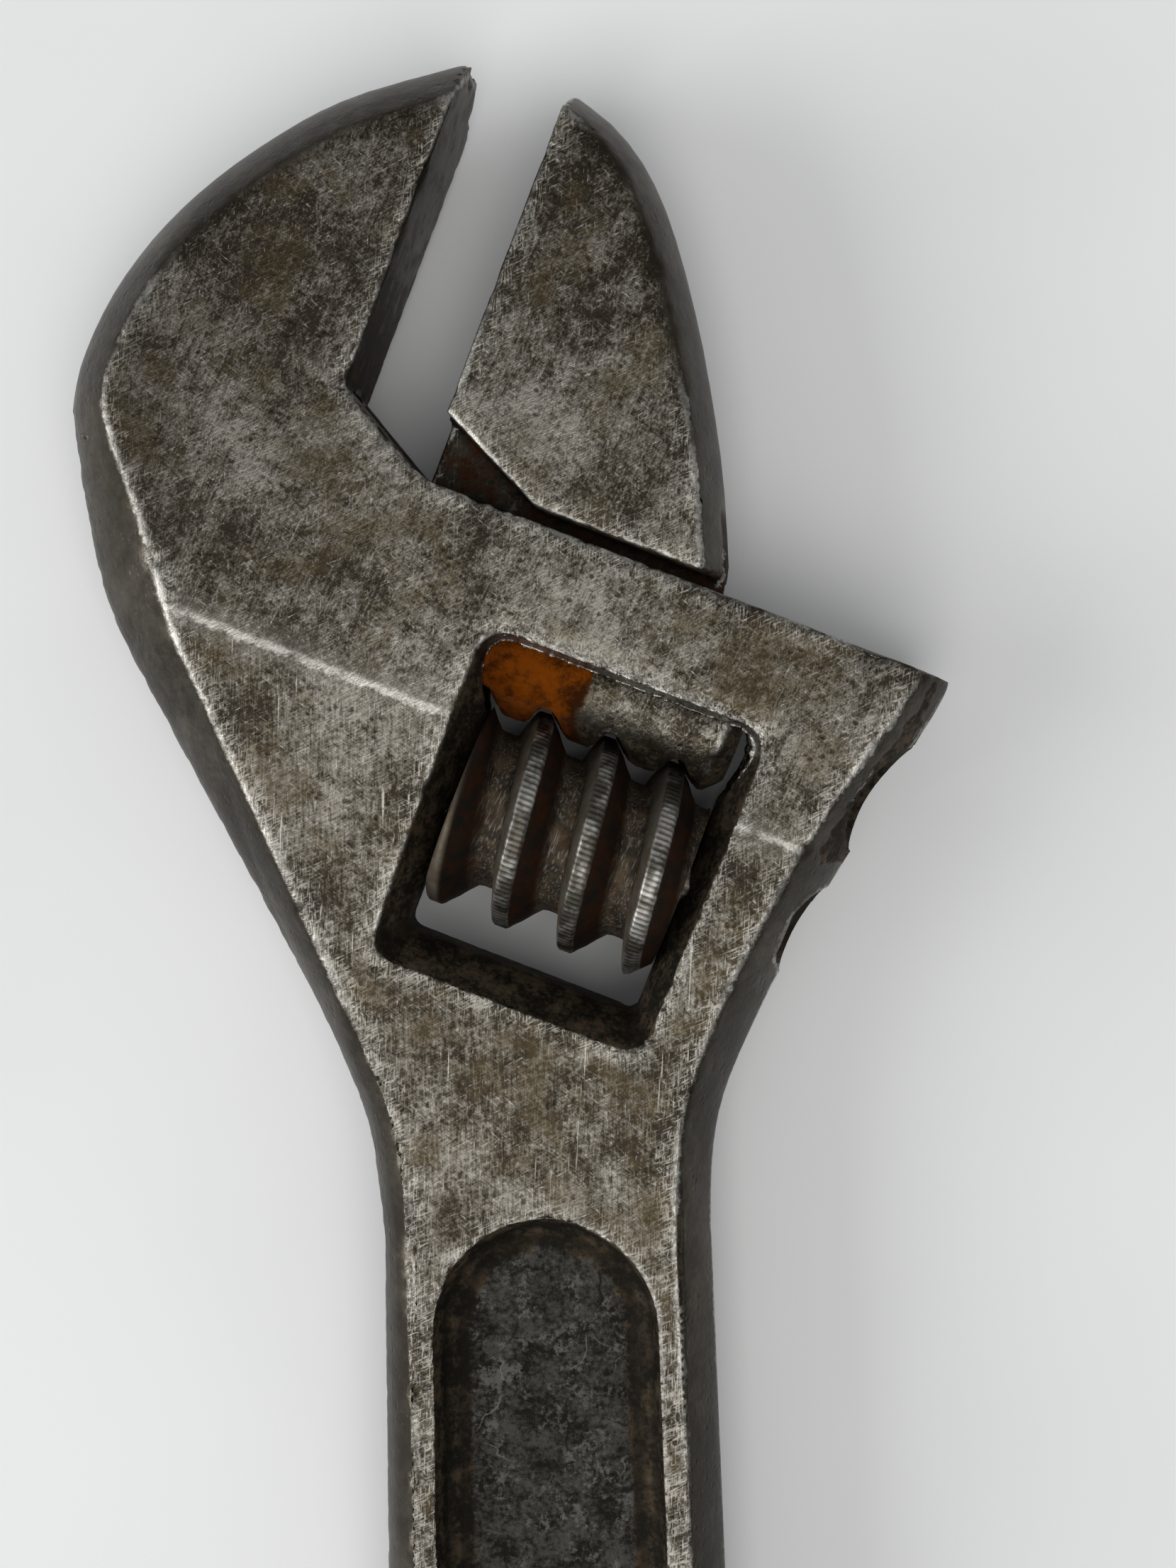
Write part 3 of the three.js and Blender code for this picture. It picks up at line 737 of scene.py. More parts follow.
@dataclass
class WornBody:
    """A CAD node made finer: divided, its corners worn round, its faces slightly uneven.

    Sizes are in millimetres. The places where the body carries grime and painted shade, rust and its other
    marks are functions of a point and a normal.
    """

    node: str
    body: str
    slot: str
    finish: ForgedFinish
    cuts: dict[int, list[float]]
    nicks: Nicks
    side_fullness: Callable[[bmesh.types.BMFace], float]
    softness: Callable[[Vector], float]
    wear_depth: Callable[[Vector], float]
    draft: float
    HALF_HEAD: ClassVar[float] = 8.25
    PARTING_HALF: ClassVar[float] = 0.4
    BAR_REACH: ClassVar[float] = 6.3
    MEASURES: ClassVar[tuple[str, ...]] = (
        "edge", "hollow", "grime_and_shade", "rusting", "scaled", "dull", "patina_and_shade", "rubbed",
    )
    corner_cell: float = 0.38
    rounding: int = 3
    soft_rounding: int = 14
    unevenness: float = 0.05
    places: dict[str, Callable[[Vector, Vector], float]] = field(default_factory=dict)

    def build(self) -> bpy.types.Object:
        """Builds and dresses the piece.

        Returns:
            The finished object, riding on its body.
        """
        bm = self.blank()
        corners = CornerMap(bm)
        for axis, places in self.cuts.items():
            self.slice(bm, list(bm.faces), axis, places)
        self.tidy(bm)
        self.refine(bm, corners)
        self.swell_sides(bm)
        self.round_corners(bm, corners)
        self.weather(bm, corners)
        self.nicks.press(bm, [p for p in corners.points[Bend.CONVEX] if self.firm(p)])
        bm.normal_update()
        self.measure(bm, corners)
        piece = publish(bm, f"{self.node}_worn", self.finish.material())
        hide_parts(self.node)
        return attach(piece, self.body)

    @staticmethod
    def firm(point: Vector) -> bool:
        """True away from the thin lips round the slide's and the pin's mouths."""
        s, _, z = HEAD.read(point)
        return s < 26 or abs(z) > 6.4

    def blank(self) -> bmesh.types.BMesh:
        """Merged copy of the CAD node, its flat faces made whole.

        Returns:
            The copy.
        """
        bm = bmesh.new()
        bm.from_mesh(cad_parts[self.node].data)
        bmesh.ops.remove_doubles(bm, verts=bm.verts, dist=2e-6)
        bmesh.ops.dissolve_degenerate(bm, edges=bm.edges, dist=2e-5)
        limit = math.radians(0.4)
        bmesh.ops.dissolve_limit(bm, angle_limit=limit, verts=bm.verts, edges=bm.edges)
        return bm

    def slice(
        self, bm: bmesh.types.BMesh, faces: list[bmesh.types.BMFace], axis: int, places: list[float]
    ) -> None:
        """Cuts faces along parallel planes, halving the faces and the planes each time.

        Args:
            bm: the body.
            faces: the faces that these planes may cross.
            axis: 0, 1 or 2, the planes' normal.
            places: the planes' places along the axis, in metres, in order.
        """
        if not places or not faces:
            return
        middle = len(places) // 2
        point = Vector((0.0, 0.0, 0.0))
        normal = Vector((0.0, 0.0, 0.0))
        point[axis] = places[middle]
        normal[axis] = 1.0
        edges = {e for f in faces for e in f.edges}
        verts = {v for e in edges for v in e.verts}
        geometry = [*verts, *edges, *faces]
        cut = bmesh.ops.bisect_plane(bm, geom=geometry, dist=1e-7, plane_co=point, plane_no=normal)
        parts = [f for f in cut["geom"] if isinstance(f, bmesh.types.BMFace)]
        below = [f for f in parts if f.calc_center_bounds()[axis] < places[middle]]
        above = [f for f in parts if f.calc_center_bounds()[axis] >= places[middle]]
        self.slice(bm, below, axis, places[:middle])
        self.slice(bm, above, axis, places[middle + 1:])

    def tidy(self, bm: bmesh.types.BMesh) -> None:
        """Merges points that fell close together and makes every face a triangle.

        Args:
            bm: the body's mesh.
        """
        bmesh.ops.remove_doubles(bm, verts=bm.verts, dist=0.10 * MM)
        bmesh.ops.dissolve_degenerate(bm, edges=bm.edges, dist=0.04 * MM)
        bmesh.ops.triangulate(bm, faces=bm.faces)

    def refine(self, bm: bmesh.types.BMesh, corners: CornerMap) -> None:
        """Divides edges that lie close to a sharp corner until they are short enough.

        Args:
            bm: the body's mesh.
            corners: where the sharp corners of the body are.
        """
        for _ in range(2):
            long = []
            for edge in bm.edges:
                length = edge.calc_length() / MM
                if length < self.corner_cell * 1.5:
                    continue
                middle = (edge.verts[0].co + edge.verts[1].co) / 2
                away = corners.distance(middle, Bend.CONVEX)
                if length > max(self.corner_cell * 1.5, away * 1.6):
                    long.append(edge)
            bmesh.ops.subdivide_edges(bm, edges=long, cuts=1, use_grid_fill=False)
            bmesh.ops.triangulate(bm, faces=[f for f in bm.faces if len(f.verts) > 3])

    def swell_sides(self, bm: bmesh.types.BMesh) -> None:
        """Makes the leaning sides bulge: full near the parting line, curving in towards the faces.

        Args:
            bm: the body's mesh.
        """
        bm.normal_update()
        moves: dict[bmesh.types.BMVert, tuple[Vector, float]] = {}
        for face in bm.faces:
            fullness = self.side_fullness(face)
            if fullness <= 1:
                continue
            level = Vector((face.normal.x, face.normal.y, 0.0)).normalized()
            for vert in face.verts:
                moves.setdefault(vert, (level, fullness))
        for vert, (level, fullness) in moves.items():
            _, q, z = HEAD.read(vert.co)
            height = (abs(z) - self.PARTING_HALF) / (self.HALF_HEAD - self.PARTING_HALF)
            share = min(1.0, max(0.0, height))
            shift = level * self.draft * (share - share ** fullness) * MM
            room = max(0.0, CAD_BOX[1].x - vert.co.x)
            if shift.x > 0:
                shift *= room / (room + shift.x)
            from_bar = HEAD.across * (q + HeadFrame.BAR_DEPTH) + Vector((0, 0, z))
            if from_bar.length < self.BAR_REACH:
                from_bar.normalize()
                shift -= from_bar * min(0.0, shift.dot(from_bar))
            vert.co = vert.co + shift

    def round_corners(self, bm: bmesh.types.BMesh, corners: CornerMap) -> None:
        """Wears the convex corners round, and some of them much softer.

        Args:
            bm: the body's mesh.
            corners: where the sharp corners of the body are.
        """
        near = []
        soft = []
        for vert in bm.verts:
            away = corners.distance(vert.co, Bend.CONVEX)
            if away < self.corner_cell * 1.3 and self.firm(vert.co):
                near.append(vert)
            if away < 2.4 * self.softness(vert.co):
                soft.append(vert)
        for verts, rounds in ((near, self.rounding), (soft, self.soft_rounding)):
            for _ in range(rounds):
                bmesh.ops.smooth_vert(
                    bm, verts=verts, factor=0.5, use_axis_x=True, use_axis_y=True, use_axis_z=True
                )

    def weather(self, bm: bmesh.types.BMesh, corners: CornerMap) -> None:
        """Makes the faces slightly uneven, always inwards, and lets corners wander a little more.

        Args:
            bm: the body's mesh.
            corners: where the sharp corners of the body are.
        """
        bm.normal_update()
        for vert in bm.verts:
            point = vert.co
            slow = 0.5 + 0.5 * waves(point, 9, 3.1)
            quick = 0.5 + 0.5 * waves(point, 2.4, 8.7)
            depth = self.unevenness * (slow + 0.45 * quick)
            near = smooth_step(corners.distance(point, Bend.CONVEX), 1.1, 0.0)
            ragged = max(0.0, waves(point, 1.1, 5.5)) * 0.16 * near * self.firm(point)
            vert.co = point - vert.normal * (depth + ragged + self.wear_depth(point)) * MM

    def measure(self, bm: bmesh.types.BMesh, corners: CornerMap) -> None:
        """Stores what the finish reads: distances to corners, dirt and rust.

        Args:
            bm: the body's mesh.
            corners: where the sharp corners of the body are.
        """
        layers = {name: bm.verts.layers.float.new(name) for name in self.MEASURES}
        for vert in bm.verts:
            vert[layers["edge"]] = min(9.0, corners.distance(vert.co, Bend.CONVEX))
            vert[layers["hollow"]] = min(9.0, corners.distance(vert.co, Bend.CONCAVE))
            vert[layers["dull"]] = self.softness(vert.co)
            for name, rule in self.places.items():
                vert[layers[name]] = rule(vert.co, vert.normal)


def publish(bm: bmesh.types.BMesh, name: str, material: bpy.types.Material) -> bpy.types.Object:
    """Turns a bmesh into a smooth-shaded object at the origin.

    Args:
        bm: the finished mesh, freed here.
        name: the object's name.
        material: its only material.

    Returns:
        The object, linked into the scene.
    """
    mesh = bpy.data.meshes.new(name)
    for face in bm.faces:
        face.smooth = True
    bm.to_mesh(mesh)
    bm.free()
    mesh.materials.append(material)
    piece = bpy.data.objects.new(name, mesh)
    bpy.context.scene.collection.objects.link(piece)
    return piece


def spaced(low: float, high: float, step: float) -> list[float]:
    """Evenly spaced places strictly between two ends, about step apart, all in metres."""
    count = max(1, round((high - low) / step))
    return [low + (high - low) * i / count for i in range(1, count)]


# ---- the forged frame ----


@dataclass
class ForgedFrame:
    """The frame: handle, head and fixed jaw in one forging. Sizes in millimetres."""

    head_cell: float = 0.85
    handle_cell: float = 1.7
    side_cell: float = 1.3
    handle_top: float = -50.0
    window_s: tuple[float, float] = (0.0, 27.6)
    window_q: tuple[float, float] = (-43.0, -10.2)
    window_middle: tuple[float, float] = (14.0, -27.0)
    recess_half: float = 12.4
    recess_top: float = -63.5
    recess_centre: float = -74.15
    recess_growth: float = 0.0135
    recess_floor: float = 7.6
    handle_face: float = 6.3
    fullness: float = 1.6
    front_shoulder: float = -0.3
    back_shoulder: float = 6.4
    draft: float = 4.4

    def handle_place(self, point: Vector) -> tuple[float, float]:
        """Handle millimetres (x, y) of a point: x from the centre line, y from the rail's crossing."""
        away = (point - HEAD.zero) / MM
        return away.x, away.y

    def side_fullness(self, face: bmesh.types.BMFace) -> float:
        """How full an outer leaning side is, from 1, flat; every other face is left as it is.

        Args:
            face: a face of the frame.

        Returns:
            The power of its bulge.
        """
        if not 0.25 < abs(face.normal.z) < 0.75 or abs(face.normal.dot(HEAD.along)) < 0.12:
            return 1.0
        centre = face.calc_center_median()
        s, _, z = HEAD.read(centre)
        x, y = self.handle_place(centre)
        outward = centre - HEAD.place(*self.window_middle)
        if y < self.recess_top + 3 and abs(x) < self.recess_half:
            return 1.0
        if outward.dot(Vector((face.normal.x, face.normal.y, 0.0))) <= 0:
            return 1.0
        extra = self.back_shoulder if z < 0 else self.front_shoulder
        return self.fullness + extra * smooth_step(s, 24.0, 30.0)

    def wear_depth(self, point: Vector) -> float:
        """How much is worn off the face where fingers rub it above the window.

        Args:
            point: a point in the row frame, in metres.

        Returns:
            The depth in millimetres.
        """
        s, q, z = HEAD.read(point)
        near = smooth_step(q, -8.7, -10.4) * smooth_step(s, 0.0, 3.0) * smooth_step(s, 29.0, 26.0)
        return 0.55 * near * smooth_step(abs(z), 4.0, 7.5)

    def softness(self, point: Vector) -> float:
        """Where the edges are worn soft: round the fixed jaw's back, fading to the heel."""
        s, q, z = HEAD.read(point)
        return smooth_step(q, 6.0, 16.0) * smooth_step(s, -19.5, -22.5) * smooth_step(abs(z), 3.5, 6.0)

    def recess_place(self, point: Vector) -> float:
        """Millimetres from the middle of the handle's recess, as if it were evenly wide.

        Args:
            point: a point in the row frame, in metres.

        Returns:
            The distance in millimetres.
        """
        x, y = self.handle_place(point)
        below = self.recess_centre - y
        if below < 0:
            return math.hypot(x, below)
        return abs(x) - self.recess_growth * below

    def in_window(self, point: Vector) -> bool:
        """True inside the window's flared opening."""
        s, q, _ = HEAD.read(point)
        return self.window_s[0] < s < self.window_s[1] and self.window_q[0] < q < self.window_q[1]

    def grime_and_shade(self, point: Vector, normal: Vector) -> float:
        """How much grime and painted shade a point gets: the window's walls, the slide channel, the jaw's
        root and the handle's recess.

        Args:
            point: a point in the row frame, in metres.
            normal: the surface's normal there.

        Returns:
            A share from 0 to 1.
        """
        s, q, z = HEAD.read(point)
        wall = smooth_step(abs(normal.z), 0.92, 0.75)
        if self.in_window(point):
            lip = smooth_step(q, -14.0, -12.6) * smooth_step(abs(z), 3.0, 5.0)
            # Painted light: the window's left wall gets less of this darkening, as if lit.
            return wall * (1 - lip) * (1 - 0.35 * smooth_step(s, 4.5, 2.5))
        x, y = self.handle_place(point)
        # Grime and painted shade on the recess's walls and on the floor along their foot.
        if y < self.recess_top and abs(x) < self.recess_half:
            foot = smooth_step(self.recess_place(point), self.recess_floor - 0.9, self.recess_floor + 0.2)
            return max(wall * 0.95, foot * smooth_step(self.handle_face - abs(z), 0.5, 1.0))
        # The fixed jaw's inner face, darker towards the throat: grime and painted shade.
        if q > 4.5 and -19.6 < s < -18.0:
            return 0.30 + 0.25 * smooth_step(q, 24.0, 6.0)
        # Grime and painted shade on the slide channel's walls inside the head.
        if q > -19 and -19.8 < s < 40 and abs(z) < 6.2:
            return 0.9 * wall
        # Slightly darker towards the left side of the head and handle.
        return 0.12 * smooth_step(x, -18.0, -34.0)

    def scaled(self, point: Vector, normal: Vector) -> float:
        """1 on the floor of the handle's recess.

        Args:
            point: a point in the row frame, in metres.
            normal: the surface's normal there; not used.

        Returns:
            A share from 0 to 1.
        """
        x, y = self.handle_place(point)
        depth = self.handle_face - abs(HEAD.read(point)[2])
        inside = y < self.recess_top and abs(x) < self.recess_half + 0.5
        return smooth_step(depth, 2.5, 3.1) if inside else 0.0

    def rubbed(self, point: Vector, normal: Vector) -> float:
        """Steel kept bare by fingers: the flare above the window, and the heel where the crease ends.

        Args:
            point: a point in the row frame, in metres.
            normal: the surface's normal there.

        Returns:
            A share from 0 to 1.
        """
        s, q, z = HEAD.read(point)
        flare = smooth_step(q, -12.8, -12.2) * smooth_step(q, -9.2, -10.2) * smooth_step(abs(z), 2.0, 4.0)
        heel = smooth_step(math.hypot(s + 28.6, q + 18.2), 4.0, 1.0) * 0.55
        inside = smooth_step(s, 0.0, 2.5) * smooth_step(s, 29.0, 26.5)
        return max(flare * inside, heel if abs(normal.z) > 0.8 else 0.0)

    def patina_and_shade(self, point: Vector, normal: Vector) -> float:
        """Painted shade, partly dark patina: how much darker the steel is made on the handle's rim, the
        fixed jaw's back and the heel, standing in for dimmer reflections there.

        Args:
            point: a point in the row frame, in metres.
            normal: the surface's normal there; not used.

        Returns:
            A share from 0 to 1.
        """
        x, y = self.handle_place(point)
        rim = 0.26 * smooth_step(y, -60.0, -70.0)
        back = 0.18 * smooth_step(x, -8.0, -24.0) * smooth_step(y, -12.0, 2.0) * smooth_step(y, 38.0, 22.0)
        heel = 0.45 * smooth_step(x, -27.0, -37.0) * smooth_step(y, -14.0, -4.0)
        return rim + back + heel

    def build(self) -> bpy.types.Object:
        """Builds the frame.

        Returns:
            The finished object.
        """
        low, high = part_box("forged_frame")
        split = HEAD.zero.y + self.handle_top * MM
        cuts = {
            0: spaced(low.x, high.x, self.head_cell * MM),
            1: spaced(low.y, split, self.handle_cell * MM) + spaced(split, high.y, self.head_cell * MM),
            2: spaced(low.z, high.z, self.side_cell * MM),
        }
        return WornBody(
            node="forged_frame",
            body="frame",
            slot="forged_steel",
            finish=ForgedFinish("forged_steel_worn", Tones()),
            cuts=cuts,
            nicks=Nicks(count=380),
            side_fullness=self.side_fullness,
            softness=self.softness,
            wear_depth=self.wear_depth,
            draft=self.draft,
            places={
                "grime_and_shade": self.grime_and_shade,
                "scaled": self.scaled,
                "patina_and_shade": self.patina_and_shade,
                "rubbed": self.rubbed,
            },
        ).build()


# ---- the sliding jaw ----


@dataclass
class SlidingJaw:
    """The jaw with its web and its round rack bar. Sizes in millimetres."""

    cell: float = 0.7
    fullness: float = 1.6
    draft: float = 2.6

    def side_fullness(self, face: bmesh.types.BMFace) -> float:
        """How full the jaw's leaning back is, from 1, flat; every other face is left as it is.

        Args:
            face: a face of the jaw.

        Returns:
            The power of its bulge.
        """
        _, q, _ = HEAD.read(face.calc_center_median())
        leaning = 0.15 < abs(face.normal.z) < 0.75
        return self.fullness if leaning and q > 1.5 else 1.0

    def wear_depth(self, point: Vector) -> float:
        """No face of the jaw is worn deeper than the rest."""
        return 0.0

    def softness(self, point: Vector) -> float:
        """Where the edges are worn soft: the upper part of the outer side."""
        s, q, z = HEAD.read(point)
        return smooth_step(q, 13.0, 21.0) * smooth_step(s, -8.6, -5.5) * smooth_step(abs(z), 3.5, 6.0)

    def rusting(self, point: Vector, normal: Vector) -> float:
        """Rust on the web under the jaw and on the rack's near half.

        Args:
            point: a point in the row frame, in metres.
            normal: the surface's normal there; not used.

        Returns:
            A share from 0 to 1.
        """
        s, q, z = HEAD.read(point)
        if q > -5.5:
            return 0.42 * smooth_step(abs(z), 4.2, 2.9) * smooth_step(q, 8.5, 6.5)
        return smooth_step(s + 2.2 * waves(point, 3.0, 7.7), 14.0, 8.0)

    def grime_and_shade(self, point: Vector, normal: Vector) -> float:
        """Grime and painted shade on the underside of the jaw, on its web and on what runs inside the frame.

        Args:
            point: a point in the row frame, in metres.
            normal: the surface's normal there.

        Returns:
            A share from 0 to 1.
        """
        _, q, z = HEAD.read(point)
        foot = smooth_step(q, 1.9, 1.2) * smooth_step(abs(normal.z), 0.9, 0.6)
        hidden = smooth_step(q, 0.2, -0.8) * smooth_step(q, -9.5, -8.0)
        web = 0.55 * smooth_step(abs(z), 4.2, 2.9) * smooth_step(q, 8.5, 6.5) * smooth_step(q, -6.5, -5.0)
        return max(foot, hidden, web)

    def build(self) -> bpy.types.Object:
        """Builds the jaw.

        Returns:
            The finished object.
        """
        low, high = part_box("sliding_jaw")
        cuts = {axis: spaced(low[axis], high[axis], self.cell * MM) for axis in range(3)}
        return WornBody(
            node="sliding_jaw",
            body="jaw",
            slot="jaw_steel",
            finish=ForgedFinish("jaw_steel_worn", Tones(), seed=40),
            cuts=cuts,
            nicks=Nicks(count=60, seed=9),
            side_fullness=self.side_fullness,
            softness=self.softness,
            wear_depth=self.wear_depth,
            draft=self.draft,
            places={"grime_and_shade": self.grime_and_shade, "rusting": self.rusting},
        ).build()


# ---- the adjusting worm ----


@dataclass
class AdjustingWorm:
    """The knurled worm: a helical thread whose crest is serrated across. Sizes in millimetres."""

    radius: float = 10.05
    root: float = 7.05
    pitch: float = 6.4
    start: float = 3.2
    length: float = 22.1
    crest_phase: float = 7.9
    serrations: int = 116
    serration_depth: float = 0.26
    near_chamfer: float = 0.5
    far_chamfer: float = 1.8
    bore: float = 2.38
    pocket: float = 3.8
    pocket_depth: float = 5.5

    def section(self) -> list[tuple[float, float]]:
        """Thread section over one pitch as (s offset, radius), from one root to the next.

        Returns:
            The points of the section, in order along the worm.
        """
        r, t = self.root, self.radius
        return [
            (-3.2, r + 0.10), (-2.75, r), (-2.1, r), (-1.62, r + 0.06), (-1.46, r + 0.42), (-1.18, r + 1.5),
            (-0.92, t - 0.62), (-0.72, t - 0.16), (-0.52, t), (0.0, t), (0.50, t), (0.68, t - 0.14),
            (0.90, t - 0.44), (1.6, t - 1.15), (2.3, t - 2.05), (2.85, r + 0.36), (3.04, r + 0.14),
            (3.2, r + 0.10),
        ]

    def build(self) -> bpy.types.Object:
        """Builds the worm.

        Returns:
            The finished object.
        """
        bm = bmesh.new()
        layers = {name: bm.verts.layers.float.new(name) for name in ("crest", "lean", "groove")}
        steps = 2 * self.serrations
        end = self.start + self.length
        first = self.start - self.pitch
        angle = (first - self.crest_phase) / self.pitch * 2 * math.pi
        chain = []
        for offset, r in self.section():
            chain.append(bm.verts.new((first + offset, r * math.cos(angle), r * math.sin(angle))))
        edges = [bm.edges.new(pair) for pair in zip(chain, chain[1:])]
        bmesh.ops.spin(
            bm, geom=[*chain, *edges], axis=(1, 0, 0), cent=(0, 0, 0), dvec=(self.pitch / steps, 0, 0),
            angle=2 * math.pi, steps=steps, use_merge=False,
        )
        turn = [*bm.verts, *bm.edges, *bm.faces]
        for index in range(1, math.ceil(self.length / self.pitch) + 2):
            copy = bmesh.ops.duplicate(bm, geom=turn)["geom"]
            moved = [v for v in copy if isinstance(v, bmesh.types.BMVert)]
            bmesh.ops.translate(bm, verts=moved, vec=(self.pitch * index, 0, 0))
        bmesh.ops.remove_doubles(bm, verts=bm.verts, dist=1e-3)
        self.cut_serrations(bm, layers)
        for place, keep_side in ((self.start, 1), (end, -1)):
            bmesh.ops.bisect_plane(
                bm,
                geom=[*bm.verts, *bm.edges, *bm.faces],
                dist=1e-6,
                plane_co=(place, 0, 0),
                plane_no=(-keep_side, 0, 0),
                clear_outer=True,
            )
        self.close_ends(bm)
        self.chamfer(bm)
        bmesh.ops.recalc_face_normals(bm, faces=bm.faces)
        bm.transform(HEAD.matrix(-HeadFrame.WORM_DEPTH))
        piece = publish(bm, "adjusting_worm_knurled", WormFinish("worm_steel_worn", Tones()).material())
        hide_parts("adjusting_worm")
        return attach(piece, "worm")

    def cut_serrations(self, bm: bmesh.types.BMesh, layers: dict[str, object]) -> None:
        """Lowers every other step of the crest and stores what the finish reads.

        Args:
            bm: the thread's mesh.
            layers: where the finish's numbers are kept, by name.
        """
        steps_per_turn = 2 * self.serrations
        for vert in bm.verts:
            r = math.hypot(vert.co.y, vert.co.z)
            angle = math.atan2(vert.co.z, vert.co.y)
            helix = (vert.co.x - self.crest_phase) / self.pitch - angle / (2 * math.pi)
            offset = (helix - round(helix)) * self.pitch
            step = round((angle % (2 * math.pi)) / (2 * math.pi) * steps_per_turn)
            whole = smooth_step(vert.co.x, self.start + 1.2, self.start + 4.0)
            vert[layers["crest"]] = (r - self.root) / (self.radius - self.root) * (0.75 + 0.25 * whole)
            vert[layers["lean"]] = max(-1.0, min(1.0, offset / 1.2))
            on_crest = smooth_step(abs(offset), 0.82, 0.60) * whole
            if step % 2 and on_crest > 0:
                worn = 0.55 + 0.45 * noise.noise(Vector((vert.co.x * 0.4, angle * 3, 1.7)))
                lowered = self.serration_depth * on_crest * worn
                vert[layers["groove"]] = on_crest
                vert.co.yz = (vert.co.y * (r - lowered) / r, vert.co.z * (r - lowered) / r)

    def close_ends(self, bm: bmesh.types.BMesh) -> None:
        """Adds the bore and the spring's pocket, and closes both end faces.

        Args:
            bm: the worm's mesh, open at both ends.
        """
        end = self.start + self.length
        outline = [(self.start, self.bore), (end - self.pocket_depth, self.bore),
                   (end - self.pocket_depth, self.pocket), (end, self.pocket)]
        chain = [bm.verts.new((s, r, 0)) for s, r in outline]
        edges = [bm.edges.new(pair) for pair in zip(chain, chain[1:])]
        bmesh.ops.spin(
            bm, geom=[*chain, *edges], axis=(1, 0, 0), cent=(0, 0, 0), dvec=(0, 0, 0),
            angle=2 * math.pi, steps=64, use_merge=True,
        )
        for place in (self.start, end):
            rim = [e for e in bm.edges if e.is_boundary and all(abs(v.co.x - place) < 1e-3 for v in e.verts)]
            made = bmesh.ops.triangle_fill(bm, edges=rim, use_beauty=True, normal=(1, 0, 0))["geom"]
            lid = [f for f in made if isinstance(f, bmesh.types.BMFace) and self.over_hole(f)]
            bmesh.ops.delete(bm, geom=lid, context="FACES_ONLY")

    def over_hole(self, face: bmesh.types.BMFace) -> bool:
        """Whether all of a face's corners lie on the rim of the bore or the pocket."""
        return all(math.hypot(v.co.y, v.co.z) < self.pocket + 0.01 for v in face.verts)

    def chamfer(self, bm: bmesh.types.BMesh) -> None:
        """Pulls points that stand outside the end chamfers in to them.

        Args:
            bm: the worm's mesh.
        """
        end = self.start + self.length
        for vert in bm.verts:
            r = math.hypot(vert.co.y, vert.co.z)
            near = self.radius - self.near_chamfer + (vert.co.x - self.start)
            far = self.radius - self.far_chamfer + (end - vert.co.x)
            most = min(self.radius, near, far)
            if r > most:
                vert.co.yz = (vert.co.y * most / r, vert.co.z * most / r)


# ---- pin and spring ----


@dataclass
class WormPin:
    """The screw pin that the worm turns on: CAD's shape, with its corners broken."""

    corner: float = 0.12

    def build(self) -> bpy.types.Object:
        """Dresses the CAD node.

        Returns:
            The CAD node's object.
        """
        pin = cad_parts["worm_pin"]
        bevel = pin.modifiers.new("broken_corners", "BEVEL")
        bevel.width = self.corner * MM
        bevel.segments = 2
        bevel.limit_method = "ANGLE"
        bevel.angle_limit = math.radians(35)
        finish = PlainSteelFinish("pin_steel_worn", (0.07, 0.062, 0.052), (0.24, 0.225, 0.20))
        dress(pin, finish.material())
        return pin


@dataclass
class WormSpring:
    """The small coil spring in the worm's pocket: round wire, cut square at its ends. Sizes in millimetres.
    """

    wire: float = 0.9
    turns: float = 3.5
    steps_per_turn: int = 40
    sides: int = 14

    def build(self) -> bpy.types.Object:
        """Builds the spring in the space of its CAD node.

        Returns:
            The finished object.
        """
        corners = [HEAD.read(v.co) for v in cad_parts["worm_spring"].data.vertices]
        low = min(s for s, _, _ in corners)
        high = max(s for s, _, _ in corners)
        reach = max(math.hypot(q + HeadFrame.WORM_DEPTH, z) for _, q, z in corners)
        radius = reach - self.wire / 2
        travel = high - low - self.wire
        bm = bmesh.new()
        turn = Matrix.Translation((low + self.wire / 2, radius, 0)) @ Matrix.Rotation(0, 4, "X")
        made = bmesh.ops.create_circle(
            bm, cap_ends=True, radius=self.wire / 2 * 0.98, segments=self.sides, matrix=turn
        )
        steps = round(self.turns * self.steps_per_turn)
        start = [*made["verts"], *{e for v in made["verts"] for e in v.link_edges}, *bm.faces]
        bmesh.ops.spin(
            bm,
            geom=start,
            axis=(1, 0, 0),
            cent=(0, 0, 0),
            dvec=(travel / steps, 0, 0),
            angle=2 * math.pi * self.turns,
            steps=steps,
            use_merge=False,
        )
        bmesh.ops.recalc_face_normals(bm, faces=bm.faces)
        bm.transform(HEAD.matrix(-HeadFrame.WORM_DEPTH))
        finish = PlainSteelFinish("spring_steel_worn", (0.05, 0.047, 0.043), (0.20, 0.19, 0.175))
        piece = publish(bm, "worm_spring_wire", finish.material())
        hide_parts("worm_spring")
        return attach(piece, "frame")


def dress(piece: bpy.types.Object, material: bpy.types.Material) -> None:
    """Gives a CAD node's object a material of its own.

    Args:
        piece: the node's object.
        material: its new material.
    """
    for slot in piece.material_slots:
        slot.link = "OBJECT"
        slot.material = material


# ---- studio ----


@dataclass
class Lamp:
    """A soft rectangular light aimed at the head. Place and size in metres."""

    name: str
    place: Point
    size: tuple[float, float]
    power: float
    colour: Colour = (1.0, 1.0, 1.0)

    def build(self, target: Vector) -> None:
        """Makes the light and points it.

        Args:
            target: the point to aim at, in metres.
        """
        light = bpy.data.lights.new(self.name, "AREA")
        light.shape = "RECTANGLE"
        light.size, light.size_y = self.size
        light.energy = self.power
        light.color = self.colour
        lamp = bpy.data.objects.new(self.name, light)
        lamp.location = self.place
        lamp.rotation_euler = (target - lamp.location).to_track_quat("-Z", "Y").to_euler()
        bpy.context.scene.collection.objects.link(lamp)


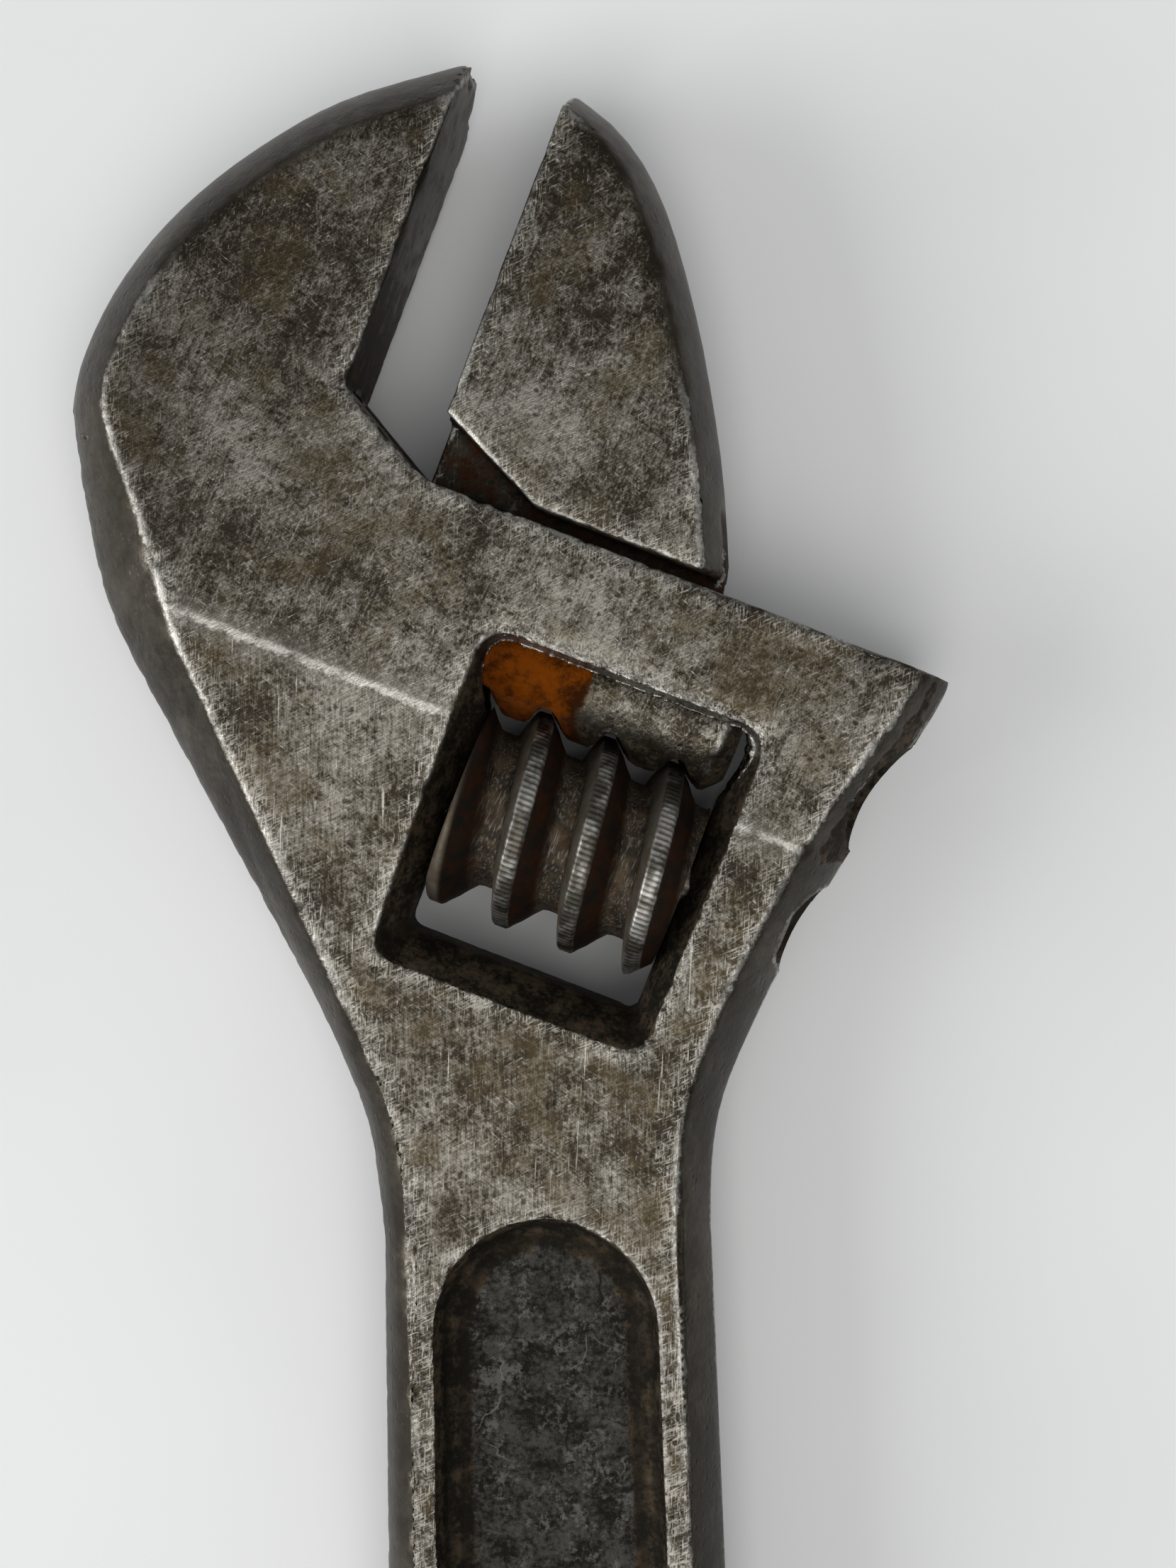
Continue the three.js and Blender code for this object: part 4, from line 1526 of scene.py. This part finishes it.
@dataclass
class Studio:
    """Camera above the head, pale floor, soft light."""

    camera_place: Point = (0.013685, 0.095790, 0.224002)
    camera_turn: Point = (-2.5722, 1.7606, -1.5)
    lens: float = 52.89
    floor_size: float = 3.0
    floor_drop: float = 0.00004
    lamps: list[Lamp] = field(default_factory=lambda: [
        Lamp("ceiling_light", (0.10, -0.32, 1.13), (0.9, 0.9), 6.3, (1.0, 0.99, 0.97)),
        Lamp("window_light", (-1.15, -0.1, 0.62), (0.8, 0.8), 10.5, (0.98, 0.99, 1.0)),
    ])
    sky: Colour = (0.95, 0.97, 1.0)
    sky_strength: float = 0.41

    def build(self) -> None:
        """Makes the camera, the floor, the lights and the sky."""
        self.set_camera()
        self.lay_floor()
        for lamp in self.lamps:
            lamp.build(HEAD.place(0, 0))
        world = bpy.data.worlds.new("soft_sky")
        world.use_nodes = True
        backdrop = world.node_tree.nodes["Background"]
        backdrop.inputs["Color"].default_value = (*self.sky, 1.0)
        backdrop.inputs["Strength"].default_value = self.sky_strength
        bpy.context.scene.world = world
        bpy.context.scene.view_settings.view_transform = "Standard"

    def set_camera(self) -> None:
        """Makes the camera, looking almost straight down at the head."""
        data = bpy.data.cameras.new("overhead")
        data.lens = self.lens
        data.clip_start, data.clip_end = 0.01, 20
        camera = bpy.data.objects.new("overhead", data)
        camera.location = self.camera_place
        camera.rotation_euler = Euler([math.radians(a) for a in self.camera_turn])
        bpy.context.scene.collection.objects.link(camera)
        bpy.context.scene.camera = camera

    def lay_floor(self) -> None:
        """Lays the pale floor just under the wrench."""
        bm = bmesh.new()
        bottom = CAD_BOX[0].z - self.floor_drop
        bmesh.ops.create_grid(bm, size=self.floor_size / 2, matrix=Matrix.Translation((0, 0, bottom)))
        floor = publish(bm, "floor", PaperFinish("pale_paper", (0.80, 0.80, 0.795)).material())


def main() -> None:
    """Builds the scene and reports each piece."""
    logging.basicConfig(level=logging.INFO, format="%(message)s")
    Studio().build()
    for maker in (ForgedFrame(), SlidingJaw(), AdjustingWorm(), WormPin(), WormSpring()):
        piece = maker.build()
        LOG.info("%s: %d faces", piece.name, len(piece.data.polygons))


if __name__ == "__main__":
    main()
